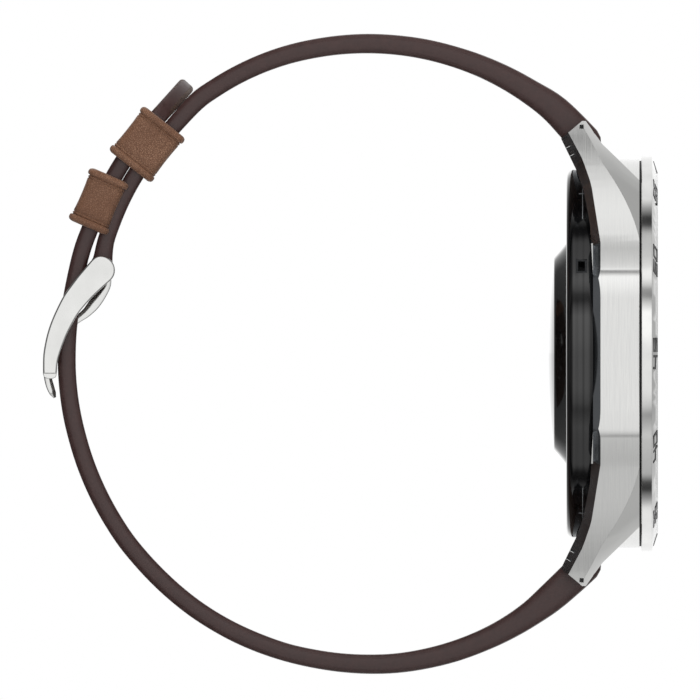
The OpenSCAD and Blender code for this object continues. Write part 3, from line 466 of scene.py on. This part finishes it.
# bonded behind the glass and unlit: even, near black
displayBlack = textured("unlit display black", "#020203", "#050506", (0.05, 0.09), 1.5, 0.0)
# a display's light, dimmed: pale and even, brighter than the black round it
displayMarks = textured("lit display pixels", "#b9bdc2", "#dfe2e6", (0.4, 0.5), 0.06, 0.05,
                        **{"Emission Color": toLinear("#d5d8dc"), "Emission Strength": 0.35})
# flowed into the engraving: near black with a low gloss, slightly uneven
numeralEnamel = textured("black numeral enamel", "#141415", "#232324", (0.25, 0.4), 0.15, 0.15)
# moulded: matt black with hardly a highlight
sealRubber = textured("black seal rubber", "#0d0d0e", "#171718", (0.55, 0.75), 0.1, 0.3)
# moulded with short glass fibres: dull dark grey, faintly speckled
glassPlastic = textured("glass-filled black plastic", "#161718", "#222426", (0.4, 0.6), 0.12, 0.25)
# moulded: black with a dull sheen
plugBlack = textured("moulded plug rubber", "#0b0b0c", "#141415", (0.4, 0.6), 0.08, 0.2)
# woven of fine wire, its weave given as a speckle and not as threads: dark with small glints
portMesh = textured("woven acoustic mesh", "#1b1b1c", "#3a3a3c", (0.35, 0.6), 0.07, 0.6, Metallic=0.6)
# darkened: a deep grey rim with soft highlights
portSteel = textured("port lining steel", "#2c2d2e", "#3d3e40", (0.25, 0.35), 0.2, 0.1, Metallic=0.9)
# printed lacquer over copper: green with a low gloss, a little uneven
boardGreen = textured("solder-masked circuit board", "#0b3a24", "#16573a", (0.3, 0.45), 0.6, 0.2, depth=0.03)
# moulded with a mineral filler: flat black
chipBlack = textured("moulded chip epoxy", "#131314", "#1f1f20", (0.5, 0.7), 0.05, 0.2)
# coated glass: dark green with a sharp highlight
lightWindows = textured("sensor window glass", "#1a2a1c", "#314a33", (0.08, 0.15), 0.5, 0.05, **{"Coat Weight": 0.5})
# wound of enamelled wire, its turns given as a fine grain and not as wires: warm, broken glints
copperWire = textured("enamelled copper winding", "#8c4c22", "#c07a45", (0.25, 0.4), 0.09, 0.5, Metallic=0.9)
# cast film: amber with a soft gloss
flexFilm = textured("polyimide flex film", "#a45a12", "#c07224", (0.25, 0.4), 0.8, 0.1)
# pressed foil: silver-grey, softly creased
cellFoil = textured("aluminium-laminate cell foil", "#8d9093", "#b4b7b9", (0.25, 0.45), 1.2, 0.35,
                    depth=0.05, Metallic=0.7)
# satin: a thin grey line in the gloss of the back
seamGrey = textured("satin grey seam line", "#77797b", "#8f9193", (0.3, 0.4), 0.3, 0.1)
# full-grain and dyed, in small pebbles: a low sheen broken by creases, darker where dye gathered
strapLeather = leather("dark brown calf leather", "#3f2a22", "#523629", "#2a1b16", 0.42, (0.42, 0.62))
# smoother hide: paler and flatter than the outside
liningLeather = leather("brown lining leather", "#47322a", "#58402f", "#33231c", 0.3, (0.5, 0.66))
# rolled saddle hide with fine pores: warm mid brown with a low sheen
keeperLeather = leather("saddle brown leather", "#74503a", "#8d6850", "#684531", 0.24, (0.44, 0.58))
# flesh side left raw: fuzzy and matt
keeperInside = textured("raw saddle leather flesh side", "#6b4630", "#805a40", (0.7, 0.85), 0.25, 0.5)
# painted and burnished: smooth dark red-brown with a low gloss
edgePaint = textured("burnished edge paint", "#37211f", "#412b29", (0.34, 0.46), 0.9, 0.18, depth=0.03,
                     **{"Specular IOR Level": 0.5, "Coat Weight": 0.12, "Coat Roughness": 0.25})
# twisted and waxed: dull brown, its fibres drawn coarser than real ones so that they show
linenThread = textured("waxed linen thread", "#4a3328", "#6e4d3c", (0.5, 0.7), 0.12, 0.7)
print("materials ready")

finishes = {
    "bezel": bezelSteel, "bezel_numerals": numeralEnamel, "cover_glass": clearGlass, "glass_gasket": sealRubber,
    "bezel_gasket": sealRubber, "display_panel": displayBlack, "display_frame": glassPlastic, "mid_frame": brushedSteel,
    "lug_plugs": plugBlack, "back_cover": backGloss, "back_gasket": sealRubber, "back_screws": polishedSteel,
    "sensor_ring": backGloss, "sensor_lens": domeGlass, "sensor_board": boardGreen, "sensor_lights": lightWindows,
    "charge_coil": copperWire, "battery": cellFoil, "main_board": boardGreen, "board_shields": plainSteel,
    "board_chips": chipBlack, "antenna_ring": copperWire, "flex_cables": flexFilm, "speaker": chipBlack,
    "speaker_mesh": portMesh, "port_frame": portSteel, "microphone": plainSteel, "haptic_motor": plainSteel,
    "crown_cap": polishedSteel, "crown_shaft": plainSteel, "crown_clip": plainSteel, "crown_sleeve": plainSteel,
    "crown_spring": plainSteel, "crown_seal": sealRubber, "crown_switch": glassPlastic, "button_cap": polishedSteel,
    "button_stem": plainSteel, "button_clip": plainSteel, "button_spring": plainSteel, "button_seal": sealRubber,
    "button_switch": glassPlastic, "bar_tubes": plainSteel, "bar_springs": plainSteel, "bar_pin_top": plainSteel,
    "bar_pin_bottom": plainSteel, "strap_short": strapLeather, "strap_long": strapLeather,
    "fixed_keeper": keeperLeather, "free_keeper": keeperLeather, "buckle_bar": polishedSteel,
    "buckle_frame": polishedSteel, "buckle_tongue": polishedSteel,
}
for name, material in finishes.items():
    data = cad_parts[name].data
    if not data.materials:
        data.materials.append(material)
    for i in range(len(data.materials)):
        data.materials[i] = material


# straps

strapSection = dict(
    # share of the half width and of the half thickness, from the middle of the lining round to the outside
    half=[(0.0, -1), (0.35, -1), (0.7, -1), (0.8, -1), (0.811, -0.87), (0.833, -0.87), (0.844, -1), (0.9, -1), (0.948, -1),
          (0.974, -0.93), (0.991, -0.74), (0.998, -0.42), (1.0, 0.0), (0.998, 0.42), (0.991, 0.74), (0.974, 0.93), (0.948, 1),
          (0.9, 1), (0.844, 1), (0.833, 0.87), (0.811, 0.87), (0.8, 1), (0.7, 1), (0.35, 1), (0.0, 1)],
    painted=0.96, groove=0.822, step=0.8, lugWidth=11, buckleWidth=10, taperFrom=28.75, taperTo=-18)
section = [(u, v) for u, v in strapSection["half"]] + [(-u, v) for u, v in reversed(strapSection["half"][1:-1])]


def strapHalfWidth(x):
    s = strapSection
    share = min(1, max(0, (s["taperFrom"] - x) / (s["taperFrom"] - s["taperTo"])))
    return s["lugWidth"] + (s["buckleWidth"] - s["lugWidth"]) * share


def makeStrap(name, node, spec, outward):
    line = smoothLine(spec["line"], strapSection["step"])
    if spec.get("tipRound"):
        # finer steps where the end is rounded
        tail = [line[-1] + (line[-2] - line[-1]) * (d / (line[-1] - line[-2]).to_2d().length)
                for d in (4.4, 3.8, 3.2, 2.6, 2.1, 1.6, 1.2, 0.85, 0.55, 0.32, 0.16, 0.05, 0.01)]
        line = [p for p in line if (p - line[-1]).to_2d().length > 4.8] + tail
    widths = []
    for p in line:
        w = strapHalfWidth(p.x)
        if spec.get("tipRound"):
            left = (p - line[-1]).to_2d().length + 0.01
            r = spec["tipRound"]
            if left < r:
                w = min(w, math.sqrt(r * r - (r - left) ** 2))
            if left < 0.5:
                p.z *= 0.45 + 0.55 * math.sqrt(1 - (1 - left / 0.5) ** 2)
        widths.append(w)
    bm = bmesh.new()
    places = placesAlong(line, outward, lambda i: widths[i])
    growSection(bm, section, places)
    for face in bm.faces:
        middle = face.calc_center_median()
        near = min(range(len(line)), key=lambda i: (line[i].x - middle.x) ** 2 + (line[i].y - middle.z) ** 2)
        local = places[near].inverted() @ middle
        face.material_index = 1 if abs(local.x) > strapSection["painted"] else (0 if local.y > 0 else 2)
    layers = [strapLeather, edgePaint, liningLeather]
    return makePiece(name, bm, "case", layers, [node], sharp=50), line, places


shortStrap = dict(line=[
    (32.89, 23.51, 0.75), (32.68, 23.72, 1.20), (32.34, 24.09, 1.60), (31.75, 24.70, 1.85), (28.31, 28.31, 1.70),
    (25.46, 30.34, 1.48), (22.48, 32.10, 1.36), (19.37, 33.54, 1.27), (16.16, 34.65, 1.21), (12.91, 35.46, 1.18),
    (9.63, 35.93, 1.15), (6.36, 36.09, 1.14), (3.14, 35.93, 1.12), (0.00, 35.48, 1.11), (-3.04, 34.77, 1.10),
    (-5.95, 33.76, 1.09), (-8.71, 32.49, 1.08), (-11.28, 30.99, 1.08), (-13.65, 29.27, 1.08), (-16.58, 26.08, 1.00),
    (-18.04, 24.46, 1.00), (-19.38, 22.74, 1.00), (-20.60, 20.93, 1.00), (-21.70, 19.03, 1.00), (-22.65, 17.07, 1.00),
    (-23.47, 15.05, 1.00), (-24.15, 12.97, 1.00), (-24.48, 10.98, 1.15), (-24.62, 10.19, 1.45), (-24.77, 9.31, 1.45),
    (-24.89, 8.67, 1.05), (-24.95, 8.32, 0.55)])
longStrap = dict(tipRound=12.5, line=[
    (32.89, -23.51, 0.75), (32.68, -23.72, 1.20), (32.34, -24.09, 1.60), (31.75, -24.70, 1.85), (28.09, -28.09, 1.75),
    (25.39, -30.26, 1.50), (22.48, -32.10, 1.35), (19.40, -33.59, 1.26), (16.21, -34.76, 1.22), (12.95, -35.58, 1.18),
    (9.66, -36.07, 1.15), (6.38, -36.18, 1.13), (3.15, -35.99, 1.10), (0.00, -35.52, 1.08), (-3.05, -34.82, 1.06),
    (-5.97, -33.84, 1.08), (-8.75, -32.65, 1.08), (-11.37, -31.24, 1.07), (-13.82, -29.64, 1.07), (-16.08, -27.85, 1.07),
    (-18.15, -25.93, 1.07), (-20.05, -23.90, 1.06), (-21.78, -21.78, 1.06), (-23.27, -19.53, 1.06), (-24.58, -17.21, 1.06),
    (-25.70, -14.84, 1.06), (-26.64, -12.42, 1.06), (-27.39, -9.97, 1.06), (-27.99, -7.50, 1.06), (-28.40, -5.01, 1.05),
    (-28.63, -2.50, 1.05), (-28.67, 0.00, 1.05), (-28.52, 3.00, 1.05), (-28.06, 6.48, 1.05), (-27.35, 10.21, 1.00),
    (-26.74, 12.49, 1.00), (-26.12, 14.14, 1.00), (-25.46, 15.77, 1.00), (-24.75, 17.37, 1.00), (-23.77, 19.48, 1.00),
    (-22.64, 21.51, 1.00), (-21.37, 23.46, 1.00), (-19.97, 25.32, 1.00), (-18.84, 26.65, 1.00), (-14.49, 31.48, 1.00)])
# holes in the long strap: x, z, radius, half the length added along the strap
strapHoles = dict(centres=[
    (-28.52, 3.05, 1.1, 1.6), (-28.64, -2.29, 0.95, 0), (-27.85, -8.17, 0.95, 0), (-26.08, -13.94, 0.95, 0),
    (-25.15, 16.37, 0.95, 0), (-22.05, 22.46, 0.95, 0)])
barSlot = dict(bar=(31.75, 24.7), radius=0.9, leverFrom=6.0, leverTo=10.2, wide=2.0)
pivot = dict(x=-24.705, z=9.699, slotHalf=1.3)


def barCutters(sign):
    # the tunnel for the spring bar, and the notch that lets a nail reach its lever
    x, z = barSlot["bar"]
    tunnel = bmesh.new()
    bore = barSlot["radius"]
    bmesh.ops.create_cone(tunnel, cap_ends=True, segments=32, radius1=bore, radius2=bore, depth=60)
    bmesh.ops.rotate(tunnel, verts=tunnel.verts, matrix=Matrix.Rotation(math.pi / 2, 3, "X"))
    bmesh.ops.translate(tunnel, verts=tunnel.verts, vec=(x, 0, sign * z))
    for face in tunnel.faces:
        face.material_index = 2
    turned = Matrix.Translation((x, 0, sign * z)) @ Matrix.Rotation(-sign * math.atan2(z, x), 4, "Y")
    notch = boxCutter((-4, barSlot["leverFrom"], -barSlot["wide"] / 2),
                      (0, barSlot["leverTo"], barSlot["wide"] / 2), turned)
    return [tunnel, notch]


strapShort, shortLine, shortPlaces = makeStrap("strapShort", "strap_short", shortStrap, 1)
strapLong, longLine, longPlaces = makeStrap("strapLong", "strap_long", longStrap, -1)
tongueSlot = boxCutter((-4, -pivot["slotHalf"], -4), (4, pivot["slotHalf"], 2.6),
                       Matrix.Translation((pivot["x"], 0, pivot["z"])) @ Matrix.Rotation(math.radians(10), 4, "Y"))
cutAway(strapShort, barCutters(1) + [tongueSlot])
cutAway(strapLong, barCutters(-1) + [
    holeCutter((x, 0, z), (x, 0, z), r, grow) for x, z, r, grow in strapHoles["centres"]])
print("straps ready")

# saddle stitches that lie in the pressed grooves along both edges
stitching = dict(length=2.0, pitch=2.9, thick=0.16, slant=7, start=7, stopShort=6, stopLong=9)


def makeStitches(name, lines):
    s = stitching
    bm = bmesh.new()
    for line, places, stop in lines:
        travelled, wanted = 0, s["start"]
        total = sum((b - a).to_2d().length for a, b in zip(line, line[1:]))
        for i in range(1, len(line)):
            travelled += (line[i] - line[i - 1]).to_2d().length
            if travelled < wanted or travelled > total - stop:
                continue
            wanted += s["pitch"]
            for across in (-1, 1):
                for facing in (-1, 1):
                    centre = places[i] @ Vector((across * strapSection["groove"], facing * 0.85, 0))
                    along = (places[i].to_3x3() @ Vector((0, 0, 1))).normalized()
                    out = (places[i].to_3x3() @ Vector((0, facing, 0))).normalized()
                    found = bmesh.ops.create_uvsphere(bm, u_segments=8, v_segments=6, radius=1)["verts"]
                    bmesh.ops.scale(bm, verts=found, vec=(s["thick"], s["thick"] * 0.7, s["length"] / 2))
                    bmesh.ops.rotate(bm, verts=found, matrix=Matrix.Rotation(math.radians(s["slant"] * across), 3, "Y"))
                    sideAxis = along.cross(out)
                    bmesh.ops.transform(bm, verts=found, matrix=Matrix.Translation(centre) @ Matrix((
                        (sideAxis.x, out.x, along.x, 0), (sideAxis.y, out.y, along.y, 0),
                        (sideAxis.z, out.z, along.z, 0), (0, 0, 0, 1))))
    bmesh.ops.recalc_face_normals(bm, faces=bm.faces)
    return makePiece(name, bm, "case", [linenThread])


makeStitches("strapStitching", [(shortLine, shortPlaces, stitching["stopShort"]),
                                (longLine, longPlaces, stitching["stopLong"])])
print("stitching ready")


# keepers

keeperArc = dict(x=5.94, z=4.34)
freeKeeper = dict(angle=141.6, low=29.955, high=34.5, side=10.25, wall=0.7, half=3.325, rim=0.2)
fixedKeeper = dict(angle=156.6, low=32.1, high=35.24, side=10.1, wall=0.7, half=3.325, rim=0.25)
# how far the outside stands from the wall's middle part, by distance from the keeper's end, as a share of the rim
spool = dict(
    profile=[(0.0, -1.5), (0.05, -0.5), (0.16, 0.45), (0.34, 0.9), (0.5, 1.0), (0.68, 0.92), (0.8, 0.55), (0.86, -0.2),
             (0.92, -0.3), (1.0, 0.1), (1.12, 0.12), (1.18, -0.25), (1.24, -0.25), (1.32, 0.05), (2.0, -0.15),
             (2.8, -0.25)],
    corner=0.85, facets=32, lip=0.12)


def makeKeeper(name, node, body, k):
    # a leather band round both straps, with rolled rims and pressed crease lines
    halfX = (k["high"] - k["low"]) / 2 + k["wall"]
    halfY = k["side"] + k["wall"]
    middle = (k["high"] + k["low"]) / 2
    bm = bmesh.new()
    verts = bmesh.ops.create_circle(bm, segments=spool["facets"], radius=spool["corner"])["verts"]
    bmesh.ops.rotate(bm, verts=verts, matrix=Matrix.Rotation(math.pi / spool["facets"], 3, "Z"))
    quads = {(sx, sy): [v for v in verts if v.co.x * sx > 0 and v.co.y * sy > 0] for sx in (-1, 1) for sy in (-1, 1)}
    for (sx, sy), found in quads.items():
        bmesh.ops.translate(bm, verts=found, vec=(sx * (halfX - spool["corner"]), sy * (halfY - spool["corner"]), 0))
    long = [e for e in bm.edges if (e.verts[0].co - e.verts[1].co).length > 2]
    bmesh.ops.subdivide_edges(bm, edges=long, cuts=9)
    verts = list(bm.verts)
    edges = list(bm.edges)
    stations = [(-k["half"] + d, o * k["rim"]) for d, o in spool["profile"]]
    stations += [(-z, o) for z, o in reversed(stations)]
    inner = -k["wall"]
    lip = k["half"] - spool["lip"]
    stations += [(z, inner) for z in (lip, k["half"] * 0.5, 0, -k["half"] * 0.5, -lip)]
    z0, o0 = stations[0]

    def stretch(z, o):
        return Matrix.Translation((0, 0, z)) @ Matrix.Diagonal(((halfX + o) / halfX, (halfY + o) / halfY, 1, 1))

    bmesh.ops.transform(bm, matrix=stretch(z0, o0), verts=verts)
    first = edges
    for (za, oa), (zb, ob) in zip(stations, stations[1:]):
        grown = newVerts(bmesh.ops.extrude_edge_only(bm, edges=edges)["geom"])
        bmesh.ops.transform(bm, matrix=stretch(zb, ob) @ stretch(za, oa).inverted(), verts=grown)
        edges = ringEdges(grown)
    bmesh.ops.bridge_loops(bm, edges=edges + first)
    bmesh.ops.recalc_face_normals(bm, faces=bm.faces)
    for face in bm.faces:
        c = face.calc_center_median()
        insideX, insideY = halfX - k["wall"] + spool["lip"], halfY - k["wall"] + spool["lip"]
        if abs(c.x) < insideX and abs(c.y) < insideY:
            face.material_index = 1
    bmesh.ops.translate(bm, vec=(middle, 0, 0), verts=bm.verts)
    bmesh.ops.transform(bm, verts=bm.verts, matrix=Matrix.Translation((keeperArc["x"], 0, keeperArc["z"]))
                        @ Matrix.Rotation(-math.radians(k["angle"]), 4, "Y"))
    return makePiece(name, bm, body, [keeperLeather, keeperInside], [node], sharp=60)


makeKeeper("keeperFree", "free_keeper", "loose_keeper", freeKeeper)
makeKeeper("keeperFixed", "fixed_keeper", "case", fixedKeeper)
print("keepers ready")


# buckle

buckle = dict(
    # outline about the pivot, clockwise from the top of the round eye
    outline=[(-1.06, 1.2), (-1.85, 0.28), (-2.6, -0.6), (-3.55, -1.85), (-4.45, -3.16), (-5.5, -5.3), (-6.14, -7.03),
             (-6.5, -8.5), (-6.71, -9.85), (-6.75, -11.2), (-6.74, -11.85), (-6.73, -12.04), (-6.55, -12.08),
             (-5.95, -12.08), (-5.35, -12.08), (-5.16, -12.04), (-5.14, -11.85), (-4.94, -10.27), (-4.17, -8.02),
             (-3.4, -6.4), (-2.61, -5.05), (-1.5, -3.7), (-0.35, -2.52), (1.2, -1.13)],
    eye=1.65, eyeFrom=-40, eyeTo=125, inner=10.25, thick=1.5, edge=0.28,
    bar=[(-6.6, -10.9), (-6.73, -11.3), (-6.73, -12.11), (-6.6, -12.5), (-6.2, -12.62), (-5.6, -12.62), (-5.25, -12.45),
         (-5.15, -12.0), (-5.1, -11.2), (-5.3, -10.8), (-5.95, -10.65)], notchHalf=1.2, restAt=-5.68)


def outlinePrism(bm, points, y0, y1, edge, segments=3):
    verts = [bm.verts.new((pivot["x"] + x, y0, pivot["z"] + z)) for x, z in points]
    face = bm.faces.new(verts)
    grown = bmesh.ops.extrude_face_region(bm, geom=[face])["geom"]
    bmesh.ops.translate(bm, vec=(0, y1 - y0, 0), verts=newVerts(grown))
    rims = [e for v in verts + newVerts(grown) for e in v.link_edges
            if abs(e.verts[0].co.y - e.verts[1].co.y) < 1e-6]
    bmesh.ops.recalc_face_normals(bm, faces=bm.faces)
    bmesh.ops.bevel(bm, geom=list(set(rims)), offset=edge, offset_type="OFFSET", affect="EDGES", segments=segments,
                    profile=0.5, material=-1, clamp_overlap=True)


armLine = [(p.x, p.y) for p in smoothLine([(x, z, 1) for x, z in buckle["outline"]], 0.35)]
eyeSteps = 16
for i in range(1, eyeSteps):
    a = math.radians(buckle["eyeFrom"] + (buckle["eyeTo"] - buckle["eyeFrom"]) * i / eyeSteps)
    armLine.append((buckle["eye"] * math.cos(a), buckle["eye"] * math.sin(a)))
bm = bmesh.new()
for side in (-1, 1):
    ends = sorted((side * buckle["inner"], side * (buckle["inner"] + buckle["thick"])))
    outlinePrism(bm, armLine, ends[0], ends[1], buckle["edge"])
barLine = [(p.x, p.y) for p in smoothLine([(x, z, 1) for x, z in buckle["bar"] + buckle["bar"][:1]], 0.3)][:-1]
# the bar is thinner in the middle, where the tongue rests
restLine = [(max(x, buckle["restAt"]), z) for x, z in barLine]
restLine = [p for i, p in enumerate(restLine) if abs(p[0] - restLine[i - 1][0]) + abs(p[1] - restLine[i - 1][1]) > 0.03]
outlinePrism(bm, restLine, -buckle["notchHalf"] - 0.06, buckle["notchHalf"] + 0.06, 0.02, 1)
for side in (-1, 1):
    ends = sorted((side * buckle["notchHalf"], side * (buckle["inner"] + buckle["thick"] - 0.1)))
    outlinePrism(bm, barLine, ends[0], ends[1], 0.05, 1)
bmesh.ops.recalc_face_normals(bm, faces=bm.faces)
buckleFrame = makePiece("buckleFrame", bm, "buckle", [polishedSteel], ["buckle_frame"], sharp=40)
areaNormals(buckleFrame, 40)

tongue = dict(
    # x, z, half thickness
    line=[(0.75, -1.6, 0.45), (0.18, -2.66, 0.57), (-0.73, -3.86, 0.68), (-1.66, -4.92, 0.55), (-2.7, -5.7, 0.45),
          (-3.8, -6.5, 0.45), (-4.85, -7.7, 0.45), (-5.6, -9.2, 0.45), (-6.15, -10.9, 0.45), (-6.2, -12.3, 0.45),
          (-5.85, -13.7, 0.45), (-5.35, -14.85, 0.3)],
    curl=0.945, curlFrom=258, curlThick=0.3, halfWidth=0.95, tipWidth=0.7, taper=2.5,
    section=[(-1, -0.78), (-0.975, -0.93), (-0.91, -1), (0, -1), (0.91, -1), (0.975, -0.93), (1, -0.78), (1, 0),
             (1, 0.78), (0.975, 0.93), (0.91, 1), (0, 1), (-0.91, 1), (-0.975, 0.93), (-1, 0.78), (-1, 0)])
curlLine = []
for i in range(19):
    a = math.radians(tongue["curlFrom"] + (-22 - tongue["curlFrom"]) * i / 18)
    curlLine.append((tongue["curl"] * math.cos(a), tongue["curl"] * math.sin(a), tongue["curlThick"]))
tongueLine = [Vector((p.x + pivot["x"], p.y + pivot["z"], p.z)) for p in smoothLine(curlLine + tongue["line"], 0.3)]
tongueWidths = []
for i, p in enumerate(tongueLine):
    left = (p - tongueLine[-1]).to_2d().length
    share = min(1, left / tongue["taper"])
    tongueWidths.append(tongue["tipWidth"] + (tongue["halfWidth"] - tongue["tipWidth"]) * share)
    if left < 0.5:
        p.z *= 0.5 + left
        tongueWidths[-1] *= 0.6 + 0.8 * left
bm = bmesh.new()
growSection(bm, tongue["section"], placesAlong(tongueLine, 1, lambda i: tongueWidths[i]))
makePiece("buckleTongue", bm, "tongue", [polishedSteel], ["buckle_tongue"], sharp=50)
print("buckle ready")


# case

caseFrame = mergedCopy("caseFrame", ["mid_frame"], "case", [brushedSteel, chamferSteelPaintedShade], ["mid_frame"],
                       sharp=22)
for face in caseFrame.data.polygons:
    if face.normal.x < -0.3:
        face.material_index = 1  # the chamfers towards the wrist are polished, in the darker steel that carries painted shade
mergedCopy("bezelRing", ["bezel"], "case", [bezelSteel], ["bezel"], sharp=22)

# gloss back: a shallow pan whose side wall swells a little, so that light falls on it in soft bands
backPan = dict(profile=[
    (29.52, 11.15), (29.52, 20.45), (29.55, 20.72), (29.64, 20.98), (29.8, 21.2), (30.0, 21.33), (30.25, 21.4), (30.55, 21.39),
    (30.85, 21.33), (31.15, 21.31), (31.5, 21.36), (31.85, 21.4), (32.2, 21.38), (32.5, 21.3), (32.6, 21.22), (32.6, 20.05),
    (30.3, 20.05), (30.3, 11.15)],
    screws=[22, -22, 158, -158], screwCircle=18.6, screwWell=1.2, wellDepth=0.7,
    port=dict(angle=151.5, x=31.27, outer=(1.3, 1.8), inner=(0.8, 1.3)))
bm = bmesh.new()
spinProfile(bm, backPan["profile"], 160)
backShell = makePiece("backShell", bm, "case", [backGloss, portSteel], ["back_cover"], sharp=40)
wells = []
for degrees in backPan["screws"]:
    well = bmesh.new()
    bmesh.ops.create_cone(well, cap_ends=True, segments=32, radius1=backPan["screwWell"], radius2=backPan["screwWell"],
                          depth=2 * backPan["wellDepth"])
    bmesh.ops.rotate(well, verts=well.verts, matrix=Matrix.Rotation(math.pi / 2, 3, "Y"))
    bmesh.ops.translate(well, verts=well.verts, vec=(29.52, 0, backPan["screwCircle"]))
    bmesh.ops.rotate(well, verts=well.verts, matrix=Matrix.Rotation(math.radians(-degrees), 3, "X"))
    wells.append(well)
port = backPan["port"]
outOfEdge = Matrix.Translation((port["x"], 0, 0)) @ Matrix.Rotation(math.radians(port["angle"] - 90), 4, "X")
for (w, h), (s0, s1), index in ((port["outer"], (20.4, 23), 0), (port["inner"], (18.5, 21), 1)):
    wells.append(boxCutter((-w / 2, -h / 2, s0), (w / 2, h / 2, s1), outOfEdge, index))
cutAway(backShell, wells)

# sensor window: a bevelled collar and a low dome
sensorWindow = dict(
    collar=[(29.5, 10.88), (28.2, 10.88), (28.1, 10.95), (28.07, 11.08), (28.12, 11.22), (28.4, 11.52), (28.8, 11.98), (29.2, 12.48),
            (29.42, 12.78), (29.5, 12.9)],
    dome=dict(radius=10.8, base=28.07, rise=0.61, foot=29.47, steps=20))
bm = bmesh.new()
spinProfile(bm, sensorWindow["collar"], 128)
makePiece("sensorCollar", bm, "case", [backGloss], ["sensor_ring"], sharp=40)
dome = sensorWindow["dome"]
ball = (dome["radius"] ** 2 + dome["rise"] ** 2) / (2 * dome["rise"])
reach = math.asin(dome["radius"] / ball)
turns = [reach * i / dome["steps"] for i in range(dome["steps"] + 1)]
domeLine = [(dome["base"] - dome["rise"] + ball * (1 - math.cos(a)), ball * math.sin(a)) for a in turns]
bm = bmesh.new()
spinProfile(bm, domeLine + [(dome["foot"], dome["radius"]), (dome["foot"], 0)], 96)
makePiece("sensorDome", bm, "case", [domeGlass], ["sensor_lens"], sharp=40)

# fine seam lines on the pan's wall, above and below, with a short cross tick
seams = dict(x=31.4, radius=21.35, deep=0.09,
             runs=[(47.2, 63.8, 0.045), (60.48, 60.72, 0.45)])  # from, to in degrees, half length along X
bm = bmesh.new()
for up in (-1, 1):
    for side in (-1, 1):
        for a0, a1, halfX in seams["runs"]:
            found = [bm.verts.new((seams["x"] + x, -r, 0)) for x, r in (
                (-halfX, seams["radius"] - seams["deep"] / 2), (halfX, seams["radius"] - seams["deep"] / 2),
                (halfX, seams["radius"] + seams["deep"] / 2), (-halfX, seams["radius"] + seams["deep"] / 2))]
            face = bm.faces.new(found)
            bmesh.ops.rotate(bm, verts=found, matrix=Matrix.Rotation(-math.radians(a0), 3, "X"))
            bmesh.ops.spin(bm, geom=[face], cent=(0, 0, 0), axis=(1, 0, 0), angle=-math.radians(a1 - a0), steps=12)
            block = set(found)
            while True:
                more = {w for v in block for e in v.link_edges for w in e.verts} - block
                if not more:
                    break
                block |= more
            bmesh.ops.scale(bm, verts=list(block), vec=(1, side, up))
bmesh.ops.recalc_face_normals(bm, faces=bm.faces)
makePiece("backSeams", bm, "case", [seamGrey], sharp=40)
print("case ready")


# dial under the glass

dial = dict(face=38.76, high=0.02, hourMark=(14.6, 17.2, 0.55), minuteMark=(17.5, 18.2, 0.14),
            hands=[(-2.0, 8.6, 0.9, 305), (-2.0, 14.4, 0.62, 54)])  # inner and outer radius, width, degrees
bm = bmesh.new()


def dialMark(bm, r0, r1, wide, degrees):
    found = bmesh.ops.create_cube(bm, size=1)["verts"]
    bmesh.ops.scale(bm, verts=found, vec=(dial["high"], wide, r1 - r0))
    bmesh.ops.translate(bm, verts=found, vec=(dial["face"] + dial["high"] / 2, 0, (r0 + r1) / 2))
    corners = [e for v in found for e in v.link_edges if abs(e.verts[0].co.x - e.verts[1].co.x) > 1e-4]
    bmesh.ops.rotate(bm, verts=found, cent=(0, 0, 0), matrix=Matrix.Rotation(-math.radians(degrees), 3, "X"))
    bmesh.ops.bevel(bm, geom=list(set(corners)), offset=wide * 0.4, offset_type="OFFSET", affect="EDGES", segments=3,
                    profile=0.5, material=-1, clamp_overlap=True)


for i in range(60):
    dialMark(bm, *(dial["minuteMark"] if i % 5 else dial["hourMark"]), i * 6)
for hand in dial["hands"]:
    dialMark(bm, *hand)
bmesh.ops.recalc_face_normals(bm, faces=bm.faces)
makePiece("dialMarks", bm, "case", [displayMarks], sharp=40)
print("dial ready")


# floor

lowest = cadBounds[0][2]
bm = bmesh.new()
bmesh.ops.create_grid(bm, x_segments=1, y_segments=1, size=studio["floorSize"] / 2 * mm)
bmesh.ops.translate(bm, verts=bm.verts, vec=(0, 0, lowest - studio["floorDrop"] * mm))
mesh = bpy.data.meshes.new("floor")
bm.to_mesh(mesh)
bm.free()
mesh.materials.append(textured("pale studio paper", "#eeeeee", "#f2f2f2", (0.8, 0.9), 40, 0.0))
floor = bpy.data.objects.new("floor", mesh)
bpy.context.scene.collection.objects.link(floor)
floor.visible_glossy = False  # the metal mirrors the studio glow only
